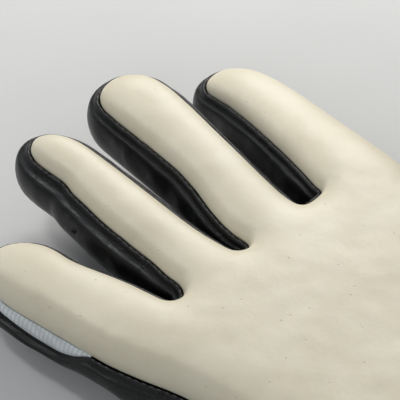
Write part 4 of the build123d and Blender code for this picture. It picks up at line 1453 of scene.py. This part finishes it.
# the binding runs down one side of the slit, round the hem and up the other side
mids = [0.5 * (a + b) for a, b in zip(outer, inner)]
thick = [np.linalg.norm(a - b, axis=1) for a, b in zip(outer, inner)]
srow = [a for a in range(nr_) if slit_half(ys_c[a]) > 0.6]
path, nsurf, nedge, th_ = [], [], [], []
for a in srow:
    path.append(mids[a][0]); nsurf.append(np.array([0, 0, 1.0])); nedge.append(np.array([-1.0, 0, 0])); th_.append(thick[a][0])
hem = nr_ - 1
for q in range(1, 6):
    a = q / 6 * math.pi / 2
    path.append(mids[hem][0]); nsurf.append(np.array([0, 0, 1.0])); nedge.append(np.array([-math.cos(a), -math.sin(a), 0])); th_.append(thick[hem][0])
for b in range(0, NCOL + 1, 3):
    n_ = outer[hem][b] - inner[hem][b]
    n_ = n_ / np.linalg.norm(n_)
    path.append(mids[hem][b]); nsurf.append(n_); nedge.append(np.array([0, -1.0, 0])); th_.append(thick[hem][b])
for q in range(5, 0, -1):
    a = q / 6 * math.pi / 2
    path.append(mids[hem][NCOL]); nsurf.append(np.array([0, 0, 1.0])); nedge.append(np.array([math.cos(a), -math.sin(a), 0])); th_.append(thick[hem][NCOL])
for a in srow[::-1]:
    path.append(mids[a][NCOL]); nsurf.append(np.array([0, 0, 1.0])); nedge.append(np.array([1.0, 0, 0])); th_.append(thick[a][NCOL])
loops = []
for k_, (p, ns, ne, tk) in enumerate(zip(path, nsurf, nedge, th_)):
    h = tk / 2 + 0.40 + 0.05 * math.sin(k_ * 1.7)
    outl = [(h, -4.6), (h + 0.12, -3.8), (h + 0.15, -2.4), (h + 0.10, -1.0), (h - 0.1, 0.4), (h * 0.6, 1.35), (0, 1.7), (-h * 0.6, 1.35), (-h + 0.1, 0.4), (-h - 0.10, -1.0), (-h - 0.15, -2.4), (-h - 0.12, -3.8), (-h, -4.6)]
    hi = h - 0.6
    inl = [(-hi, -4.6), (-hi, -2.4), (-hi, -0.6), (-hi * 0.5, 0.5), (0, 0.8), (hi * 0.5, 0.5), (hi, -0.6), (hi, -2.4), (hi, -4.6)]
    loops.append([p + ns * a_ + ne * b_ for a_, b_ in outl + inl])
L = len(loops[0])
Vb = np.array([p for l in loops for p in l])
fb_ = []
for a in range(len(loops) - 1):
    for b in range(L):
        c = (b + 1) % L
        fb_.append((a * L + b, a * L + c, (a + 1) * L + c, (a + 1) * L + b))
fb_.append(tuple(range(L - 1, -1, -1)))
fb_.append(tuple((len(loops) - 1) * L + b for b in range(L)))
PIECE["cuff_binding"] = make_mesh("cuff_binding", Vb, fb_, [MAT["binding"]])
weld(PIECE["cuff_binding"], 1e-8)
sp, sn = [], []
for p, ns, ne, tk in zip(path, nsurf, nedge, th_):
    sp.append(p + ns * (tk / 2 + 0.52) - ne * 3.4)
    sn.append(ns)
PIECE["binding_thread"] = thread_piece("binding_thread", [(sp, sn)], MAT["thread"], pitch=2.8, half=0.95, rad=0.22, sink=0.05)

# elastic let into the slit
ev, ef = [], []
ny, nx = 62, 36
for a in range(ny + 1):
    y_ = -121.4 - (158.5 - 121.4) * a / ny
    h = max(slit_half(min(y_, -122.2)), 0.8) + 2.6
    for b in range(nx + 1):
        v_ = -1 + 2 * b / nx
        z_ = 3.35 - 0.7 * math.cos(v_ * math.pi / 2) * (a / ny) + 0.26 * math.cos(2 * math.pi * (y_ + 121.4) / 2.05)
        ev.append((CX + v_ * h, y_, z_ + 0.55))
for a in range(ny + 1):
    y_ = -121.4 - (158.5 - 121.4) * a / ny
    h = max(slit_half(min(y_, -122.2)), 0.8) + 2.6
    for b in range(nx + 1):
        v_ = -1 + 2 * b / nx
        z_ = 3.35 - 0.7 * math.cos(v_ * math.pi / 2) * (a / ny) - 0.16 * math.cos(2 * math.pi * (y_ + 121.4) / 2.05)
        ev.append((CX + v_ * h, y_, z_ - 0.55))
w1 = nx + 1
o2 = (ny + 1) * w1
for a in range(ny):
    for b in range(nx):
        ef.append((a * w1 + b, (a + 1) * w1 + b, (a + 1) * w1 + b + 1, a * w1 + b + 1))
        ef.append((o2 + a * w1 + b, o2 + a * w1 + b + 1, o2 + (a + 1) * w1 + b + 1, o2 + (a + 1) * w1 + b))
for a in range(ny):
    ef.append((a * w1, o2 + a * w1, o2 + (a + 1) * w1, (a + 1) * w1))
    ef.append((a * w1 + nx, (a + 1) * w1 + nx, o2 + (a + 1) * w1 + nx, o2 + a * w1 + nx))
for b in range(nx):
    ef.append((b, b + 1, o2 + b + 1, o2 + b))
    ef.append((ny * w1 + b, o2 + ny * w1 + b, o2 + ny * w1 + b + 1, ny * w1 + b + 1))
PIECE["slit_elastic"] = make_mesh("slit_elastic", np.array(ev), ef, [MAT["elastic"]])
weld(PIECE["slit_elastic"], 1e-8)


# ------------------------------------------------------------------ strap
def ribbon(name, centre, normal, half_w, half_t, mats, y_mid, ridges=0.0, tip=None, nseg=26):
    """A flat band whose width lies along y. centre and normal are per station, half_w per station."""
    loops = []
    for k_, (c, n_, hw_) in enumerate(zip(centre, normal, half_w)):
        loop_ = []
        vv = np.linspace(-1, 1, nseg)
        top_ = []
        for v_ in vv:
            e = min(1.0, (1 - abs(v_)) * hw_ / 1.1)
            prof = math.sqrt(max(0.0, 1 - (1 - e) ** 2))
            hem_ = 0.14 * math.exp(-((hw_ * (1 - abs(v_)) - 1.6) / 0.9) ** 2) if hw_ > 3 else 0
            chan = -0.22 * math.exp(-((hw_ * (1 - abs(v_)) - 3.2) / 0.45) ** 2) if hw_ > 5 else 0
            weave = ridges * math.cos(v_ * hw_ * 2 * math.pi / 3.0) * prof
            top_.append(half_t * prof * (1 if hw_ > 0.5 else 0.6) + hem_ + chan + weave)
        for v_, t_ in zip(vv, top_):
            loop_.append(c + np.array([0, v_ * hw_, 0]) + n_ * t_)
        for v_, t_ in zip(vv[::-1], top_[::-1]):
            e = min(1.0, (1 - abs(v_)) * hw_ / 1.1)
            prof = math.sqrt(max(0.0, 1 - (1 - e) ** 2))
            loop_.append(c + np.array([0, v_ * hw_, 0]) - n_ * (half_t * prof))
        loops.append(loop_)
    return loft(name, loops, mats)


off_loop = rr_loop(42.0 + 1.2, -28.2 - 1.2, 6.0 + 1.2, 15.2, n=60)
os_ = np.concatenate([[0], np.cumsum(np.linalg.norm(np.diff(off_loop, axis=0), axis=1))])
on_ = np.gradient(off_loop, axis=0)
dense_s = np.arange(0, os_[-1], 0.9)
px_ = np.interp(dense_s, os_, off_loop[:, 0])
pz_ = np.interp(dense_s, os_, off_loop[:, 1])
tx_ = np.gradient(px_); tz_ = np.gradient(pz_)
tl_ = np.hypot(tx_, tz_); tx_ /= tl_; tz_ /= tl_
nx_, nz_ = -tz_, tx_                                # outward, as the run goes clockwise from the top
flip = (nx_ * px_ + nz_ * (pz_ - CZ)) < 0
nx_[flip] *= -1; nz_[flip] *= -1
i_start = int(np.argmin(np.abs(px_ - (24.5 - CX)) + 100 * (pz_ < 0) + 100 * (dense_s > os_[-1] / 2)))
left = np.where((px_ < -40) & (dense_s > os_[-1] / 2))[0]
i_end = int(left[np.argmin(np.abs(pz_[left] + 6.0))])
YM = -133.0
cen, nor = [], []
for i in range(i_start, i_end + 1):
    lift_band = 0.45 * smooth01((px_[i] + CX - 22) / 8.0) * 0
    cen.append(np.array([px_[i] + CX, YM, pz_[i]]) + np.array([nx_[i], 0, nz_[i]]) * 0.1)
    nor.append(np.array([nx_[i], 0, nz_[i]]))
n_band = len(cen)
hws = [15.0 - 0.0 * k_ for k_ in range(n_band)]
for k_ in range(4):
    hws[-1 - k_] = [13.9, 14.6, 14.9, 15.0][k_]
PIECE["strap_band"] = ribbon("strap_band", cen, nor, hws, 0.85, [MAT["strap"]], YM, ridges=0.06)
# flap: from the band's end over the patches to its rounded end
fx = np.concatenate([np.arange(24.5, -33.0, -0.9), [-34.0, -34.9, -35.6, -36.2, -36.6, -36.9, -37.05]])
fcen, fnor, fhw = [], [], []
z_band = cen[0][2]
for x_ in fx:
    z_ = z_band + (9.6 - z_band) * smooth01((24.5 - x_) / 13.0)
    if x_ < -31:
        z_ -= 0.0
    z_ += 0.25 * math.sin((24.5 - x_) / 61.5 * math.pi * 2.0) * smooth01((20 - x_) / 10)
    fcen.append(np.array([x_, YM, z_]))
    d_ = x_ + 37.1
    fhw.append(14.5 + 0.5 * smooth01((x_ - 18) / 6) if d_ > 7 else 14.5 - 7 + math.sqrt(max(0.0, 49 - (7 - d_) ** 2)))
fcen = np.array(fcen)
tan_ = np.gradient(fcen, axis=0)
for t_ in tan_:
    n_ = np.array([t_[2], 0, -t_[0]])
    n_ /= np.linalg.norm(n_)
    if n_[2] < 0:
        n_ = -n_
    fnor.append(n_)
PIECE["strap_flap"] = ribbon("strap_flap", list(fcen), fnor, fhw, 0.85, [MAT["strap"]], YM, ridges=0.06)


def rounded_outline(x0, x1, y0, y1, r, step=0.8):
    pts = []
    for cx_, cy_, a0 in ((x1 - r, y1 - r, 90), (x1 - r, y0 + r, 0), (x0 + r, y0 + r, -90), (x0 + r, y1 - r, -180)):
        for a in np.linspace(a0, a0 - 90, 8):
            pts.append((cx_ + r * math.cos(math.radians(a)), cy_ + r * math.sin(math.radians(a))))
    pts.append(pts[0])
    return resample(np.array(pts), step)[:-1]


def pad_piece(name, outline, top, bottom, mat, spacing=0.9, edge=0.8, up=1.0):
    """A thin shaped plate: its face at height top(p, d), its underside at bottom(p), with a rounded edge."""
    V_, T_ = triangulate(outline, [], spacing)
    d_ = distance(V_, np.vstack([outline, outline[:1]]))
    m_ = len(outline)
    d_[:m_] = 0
    e = np.sqrt(np.clip(1 - (1 - np.clip(d_ / edge, 0, 1)) ** 2, 0, 1))
    zt_, zb_ = top(V_, d_), bottom(V_)
    zmid = zb_ + (zt_ - zb_) * 0.35
    zface = zmid + (zt_ - zmid) * e
    VV = np.vstack([np.column_stack([V_, zface]), np.column_stack([V_, zb_])])
    ff = []
    k2 = len(V_)
    for t in T_:
        a, b, c = (int(q) for q in t)
        if up > 0:
            ff.append((a, b, c)); ff.append((k2 + a, k2 + c, k2 + b))
        else:
            ff.append((a, c, b)); ff.append((k2 + a, k2 + b, k2 + c))
    for i in range(m_):
        j = (i + 1) % m_
        ff.append((i, j, k2 + j, k2 + i) if up > 0 else (i, k2 + i, k2 + j, j))
    return make_mesh(name, VV, ff, [mat])


def cuff_top(p):
    """Height of the cuff's palm side under a patch."""
    return np.full(len(p), 6.05)


PIECE["loop_patch"] = pad_piece("loop_patch", rounded_outline(-35.0, -18.0, -147.0, -119.0, 2.5, 0.7),
                                lambda p, d: 7.05 + 0.20 * value_noise(p, 0.8, 91) + 0.12 * value_noise(p, 0.45, 92), lambda p: np.full(len(p), 5.75), MAT["loop"], 0.75, 0.7)
PIECE["hook_patch"] = pad_piece("hook_patch", rounded_outline(-34.0, -14.0, -145.0, -121.0, 2.5, 0.7),
                                lambda p, d: 7.55 + 0.12 * np.cos(p[:, 0] * 2 * math.pi / 1.6) * np.cos(p[:, 1] * 2 * math.pi / 1.6), lambda p: np.full(len(p), 8.62), MAT["hook"], 0.6, 0.5, up=-1.0)


def grip_top(p, d):
    ridge = 0.5 + 0.5 * np.cos((p[:, 0] + 31.2) * 2 * math.pi / 1.75)
    inset = smooth01((d - 1.0) / 0.5)
    return 11.35 + 0.15 + inset * (0.55 * smooth01(ridge * 1.6 - 0.3)) - 0.10 * smooth01(inset * 2)


PIECE["strap_grip"] = pad_piece("strap_grip", rounded_outline(-35.6, -27.0, -141.5, -124.5, 2.6, 0.5), grip_top, lambda p: np.full(len(p), 10.3), MAT["grip"], 0.40, 0.7)

# stitching on the strap: an inset line round the flap, a box where the band is sewn down
edge_in = []
for c, n_, hw_ in zip(fcen, fnor, fhw):
    if c[0] > -35.2:
        edge_in.append((c, n_, max(hw_ - 2.2, 0.1)))
ptsA = [c + np.array([0, h_, 0]) + n_ * 0.98 for c, n_, h_ in edge_in]
ptsB = [c + np.array([0, -h_, 0]) + n_ * 0.98 for c, n_, h_ in edge_in]
PIECE["flap_thread"] = thread_piece("flap_thread", [(ptsA, [n_ for _, n_, _ in edge_in]), (ptsB, [n_ for _, n_, _ in edge_in])], MAT["thread"], pitch=2.6, half=0.9, rad=0.22, sink=0.05)
bl = [c + np.array([0, 12.7, 0]) + n_ * 0.98 for c, n_ in zip(cen, nor)]
br = [c + np.array([0, -12.7, 0]) + n_ * 0.98 for c, n_ in zip(cen, nor)]
box_i = n_band - 3
box_j = n_band - 16
cr1 = [cen[i] + np.array([0, 12.7 - 25.4 * (i - box_j) / (box_i - box_j), 0]) + nor[i] * 0.98 for i in range(box_j, box_i + 1)]
cr2 = [cen[i] + np.array([0, -12.7 + 25.4 * (i - box_j) / (box_i - box_j), 0]) + nor[i] * 0.98 for i in range(box_j, box_i + 1)]
e1 = [cen[box_i] + np.array([0, v_, 0]) + nor[box_i] * 0.98 for v_ in np.linspace(-12.7, 12.7, 20)]
e2 = [cen[box_j] + np.array([0, v_, 0]) + nor[box_j] * 0.98 for v_ in np.linspace(-12.7, 12.7, 20)]
nb = nor[box_j:box_i + 1]
PIECE["band_thread"] = thread_piece("band_thread", [(bl, nor), (br, nor), (cr1, nb), (cr2, nb), (e1, [nor[box_i]] * 20), (e2, [nor[box_j]] * 20)], MAT["thread"], pitch=2.6, half=0.9, rad=0.22, sink=0.05)

# ------------------------------------------------------------------ pull tab: a folded loop of webbing
tp = [(-168.5, 8.15), (-172, 8.55), (-176, 9.1), (-179, 9.75), (-183, 9.95), (-190, 9.95), (-196.5, 9.95), (-198.8, 9.85), (-199.75, 9.35), (-199.4, 8.75), (-197.5, 8.50), (-192, 8.50), (-187, 8.52), (-183.2, 8.55)]
tpc = resample(catmull(np.array(tp, float)), 0.6)
tg = np.gradient(tpc, axis=0)
tg /= np.linalg.norm(tg, axis=1)[:, None]
loops = []
for (y_, z_), (ty, tz) in zip(tpc, tg):
    n_ = np.array([0.0, -tz, ty])
    if True:
        n_ = np.array([0.0, tz, -ty])
    c = np.array([-34.0, y_, z_])
    hw_ = 7.4
    vv = np.linspace(-1, 1, 22)
    ht = [0.42 * math.sqrt(max(0.0, 1 - (1 - min(1.0, (1 - abs(v_)) * hw_ / 0.5)) ** 2)) + 0.05 * math.cos(v_ * hw_ * 2 * math.pi / 1.5) for v_ in vv]
    l = [c + np.array([v_ * hw_, 0, 0]) + n_ * h_ for v_, h_ in zip(vv, ht)]
    l += [c + np.array([v_ * hw_, 0, 0]) - n_ * h_ for v_, h_ in zip(vv[::-1], ht[::-1])]
    loops.append(l)
PIECE["pull_tab"] = loft("pull_tab", loops, [MAT["webbing"]])
tb = []
for x0_, x1_, y0_, y1_ in ((-40, -28, -169.5, -169.5), (-40, -28, -175.5, -175.5), (-40, -40, -169.5, -175.5), (-28, -28, -169.5, -175.5), (-40, -28, -169.5, -175.5), (-28, -40, -169.5, -175.5)):
    n_p = 16
    pts_ = []
    for t in np.linspace(0, 1, n_p):
        y_ = y0_ + (y1_ - y0_) * t
        z_ = np.interp(-y_, -tpc[:30, 1], tpc[:30, 1 + 0] * 0 + tpc[:30, 1]) if False else float(np.interp(-y_, -tpc[:28, 0], tpc[:28, 1]))
        pts_.append((x0_ + (x1_ - x0_) * t, y_, z_ + 0.50))
    tb.append((pts_, (0, 0, 1)))
PIECE["tab_thread"] = thread_piece("tab_thread", tb, MAT["thread_black"], pitch=2.2, half=0.8, rad=0.2, sink=0.05)

# ------------------------------------------------------------------ inner hand lining seen through the cuff
ly_ = np.concatenate([np.arange(-117.0, -30, 4.0), [-28, -26.5, -25.5, -25.0]])
loops = []
nl = 72
for q, y_ in enumerate(ly_):
    t = smooth01((-117 - y_) / -30.0)
    x0_ = np.interp(y_, [-117, -100, -70, -45, -25], [-47.0, -48.5, -53.5, -57.5, -60.0])
    x1_ = np.interp(y_, [-117, -100, -85, -70, -55, -45, -25], [29.0, 31.0, 33.0, 30.0, 22.0, 21.0, 30.0])
    zt1, zb1 = -2.6 + 1.0 * (1 - t), -20.0
    close = 1.0 if y_ < -30 else math.sqrt(max(0.02, 1 - ((y_ + 30) / 5.1) ** 2))
    hx, hz = (x1_ - x0_) / 2 * close, (zt1 - zb1) / 2 * close
    cx_, cz_ = (x0_ + x1_) / 2, (zt1 + zb1) / 2
    ang = np.linspace(0, 2 * math.pi, nl, endpoint=False)
    ex = 2 / 3.2
    wob = 1 + 0.015 * value_noise(np.column_stack([ang * 8, np.full(nl, y_ / 5)]), 1.4, 61)
    loops.append(np.column_stack([cx_ + hx * wob * np.sign(np.cos(ang)) * np.abs(np.cos(ang)) ** ex, np.full(nl, y_), cz_ + hz * np.sign(np.sin(ang)) * np.abs(np.sin(ang)) ** ex]))
inn_l = []
for l in loops:
    c = l.mean(0)
    d_ = l - c
    r_ = np.linalg.norm(d_, axis=1)[:, None]
    inn_l.append(c + d_ * (1 - 0.8 / np.maximum(r_, 3)) + np.array([0, -0.3, 0]))
ALLL = loops + inn_l[::-1]
V_ = np.vstack(ALLL)
ff = []
for a in range(len(ALLL) - 1):
    for b in range(nl):
        c = (b + 1) % nl
        ff.append((a * nl + b, a * nl + c, (a + 1) * nl + c, (a + 1) * nl + b))
lastl = len(ALLL) - 1
for b in range(nl):
    c = (b + 1) % nl
    ff.append((lastl * nl + b, lastl * nl + c, c, b))
# at the closed end the loops shrink small and the two skins meet in one narrow band of faces
PIECE["hand_lining"] = make_mesh("hand_lining", V_, ff, [MAT["liner"]])
weld(PIECE["hand_lining"], 1e-8)

# ------------------------------------------------------------------ punch pad with moulded bars
pad_out = PADPOLY.copy()
pc = pad_out.mean(0)
dense_pad = np.vstack([pad_out, pad_out[:1]])
rs = resample(dense_pad, 0.25)
for _ in range(60):
    rs[:-1] = 0.5 * rs[:-1] + 0.25 * (np.roll(rs[:-1], 1, 0) + np.roll(rs[:-1], -1, 0))
rs[-1] = rs[0]
pad_line = resample(rs, 0.8)[:-1]
area2 = (pad_line[:, 0] * np.roll(pad_line[:, 1], -1) - pad_line[:, 1] * np.roll(pad_line[:, 0], -1)).sum()
if area2 > 0:
    pad_line = pad_line[::-1]


def pad_face(p, d):
    z_ = np.full(len(p), -30.42)
    for gx_, slope in ((-42.0, -0.06), (-19.0, -0.02), (4.0, 0.03)):
        q = np.abs(p[:, 0] - gx_ - slope * (p[:, 1] + 35))
        z_ += 1.15 * smooth01((1.75 - q) / 0.8)
    frame_ = smooth01((d - 2.6) / 0.5)
    for row in range(5):
        yy = -24.5 - 5.6 * row
        bar = smooth01((1.5 - np.abs(p[:, 1] - yy - 0.06 * p[:, 0])) / 0.7)
        gap = np.minimum.reduce([np.abs(p[:, 0] - gx_ - sl * (p[:, 1] + 35)) for gx_, sl in ((-42.0, -0.06), (-19.0, -0.02), (4.0, 0.03))])
        z_ += 0.0 * bar * gap
    gap = np.minimum.reduce([np.abs(p[:, 0] - gx_ - sl * (p[:, 1] + 35)) for gx_, sl in ((-42.0, -0.06), (-19.0, -0.02), (4.0, 0.03))])
    cellmask = frame_ * smooth01((gap - 3.4) / 0.6)
    ribs_ = 0.5 - 0.5 * np.cos((p[:, 1] + 0.10 * p[:, 0]) * 2 * math.pi / 4.6)
    z_ += cellmask * 0.75 * smooth01(ribs_ * 1.7 - 0.55)
    return z_


PIECE["punch_pad"] = pad_piece("punch_pad", pad_line, pad_face, lambda p: np.full(len(p), -27.6), MAT["pad"], 0.85, 1.3, up=-1.0)
pn = []
t_ = np.roll(pad_line, -1, 0) - np.roll(pad_line, 1, 0)
t_ /= np.linalg.norm(t_, axis=1)[:, None]
inn_ = np.stack([t_[:, 1], -t_[:, 0]], 1)
ring_p = pad_line - inn_ * 1.55
zb_here = np.array([zt[np.argmin(((V2 - q) ** 2).sum(1))] for q in ring_p])
PIECE["pad_thread"] = thread_piece("pad_thread", [(np.column_stack([ring_p, zb_here - 0.12]), (0, 0, -1))], MAT["thread_black"], pitch=2.6, half=0.9, rad=0.26, sink=0.0)

# ------------------------------------------------------------------ what each piece rides on and stands for
def flat_size(ob, length=None):
    """Half a closed skin's area as a flat cut of the piece's own length."""
    co = np.array([v.co for v in ob.data.vertices])
    ob.data.calc_loop_triangles()
    tri = np.array([t.vertices[:] for t in ob.data.loop_triangles])
    tot = float(np.linalg.norm(np.cross(co[tri[:, 1]] - co[tri[:, 0]], co[tri[:, 2]] - co[tri[:, 0]]), axis=1).sum()) / 4
    if length is None:
        length = float(np.ptp(co, axis=0).max())
    w_ = max(tot / length, 0.0101)
    return (w_, max(min(length, tot / (0.32 * w_)), 0.0101)), tot


def cloth_piece(ob, length=None):
    (w_, l_), a_ = flat_size(ob, length)


SOFT_LIST = []
for nm, ob in list(PIECE.items()):
    stem = nm
    done = False
    for n in ORDER:
        f = FINGERS[n]
        if stem in (n + "_base_front", n + "_base_back", n + "_base_gusset") or (n == "little" and stem == "little_base_side_panel"):
            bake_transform(ob)
            done = True
        if stem in (n + "_tip_front", n + "_tip_back", n + "_tip_gusset") or (n == "little" and stem == "little_tip_side_panel"):
            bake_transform(ob)
            done = True
    if done:
        continue
    if nm == "ring_vent":
        f = FINGERS["ring"]
        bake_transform(ob)
        continue
    if nm in ("strap_flap", "flap_thread"):
        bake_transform(ob)
    elif nm in ("hook_patch", "strap_grip"):
        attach(ob, "strap_end")
    elif nm == "pull_tab":
        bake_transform(ob)
    else:
        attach(ob, "palm")

for n in ORDER:
    for part in ("base", "tip"):
        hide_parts(f"{n}_{part}_latex")
        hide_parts(f"{n}_{part}_back")
        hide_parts(f"{n}_{part}_gusset")
        cloth_piece(PIECE[f"{n}_{part}_gusset"])
for nm in ("little_base_side_panel", "little_tip_side_panel"):
    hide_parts(nm)
    cloth_piece(PIECE[nm])
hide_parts("little_side_strip")
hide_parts("palm_latex")
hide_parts("backhand_panel", "backhand_foam", "thumb_root_back")
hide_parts("palm_lining", "backhand_lining")
cloth_piece(PIECE["hand_lining"])
for nm in ("little_side_panel", "crotch_gusset_ring_little", "crotch_gusset_middle_ring", "crotch_gusset_index_middle", "index_side_panel", "thumb_web_gusset", "thumb_side_panel"):
    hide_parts(nm)
    cloth_piece(PIECE[nm])
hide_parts("punch_pad")
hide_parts("cuff_back", "cuff_palm_little_side", "cuff_palm_thumb_side")
for nm, slot_, held in (("cuff_binding", "binding", "folded"), ("slit_elastic", "elastic", "stretched"), ("strap_band", "strap", "stretched"), ("loop_patch", "loop", "laid"),
                        ("strap_flap", "strap", "laid"), ("hook_patch", "hook", "laid"), ("pull_tab", "webbing", "folded")):
    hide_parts(nm)
    cloth_piece(PIECE[nm])
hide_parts("strap_grip")
cloth_piece(PIECE["wrist_piping"])
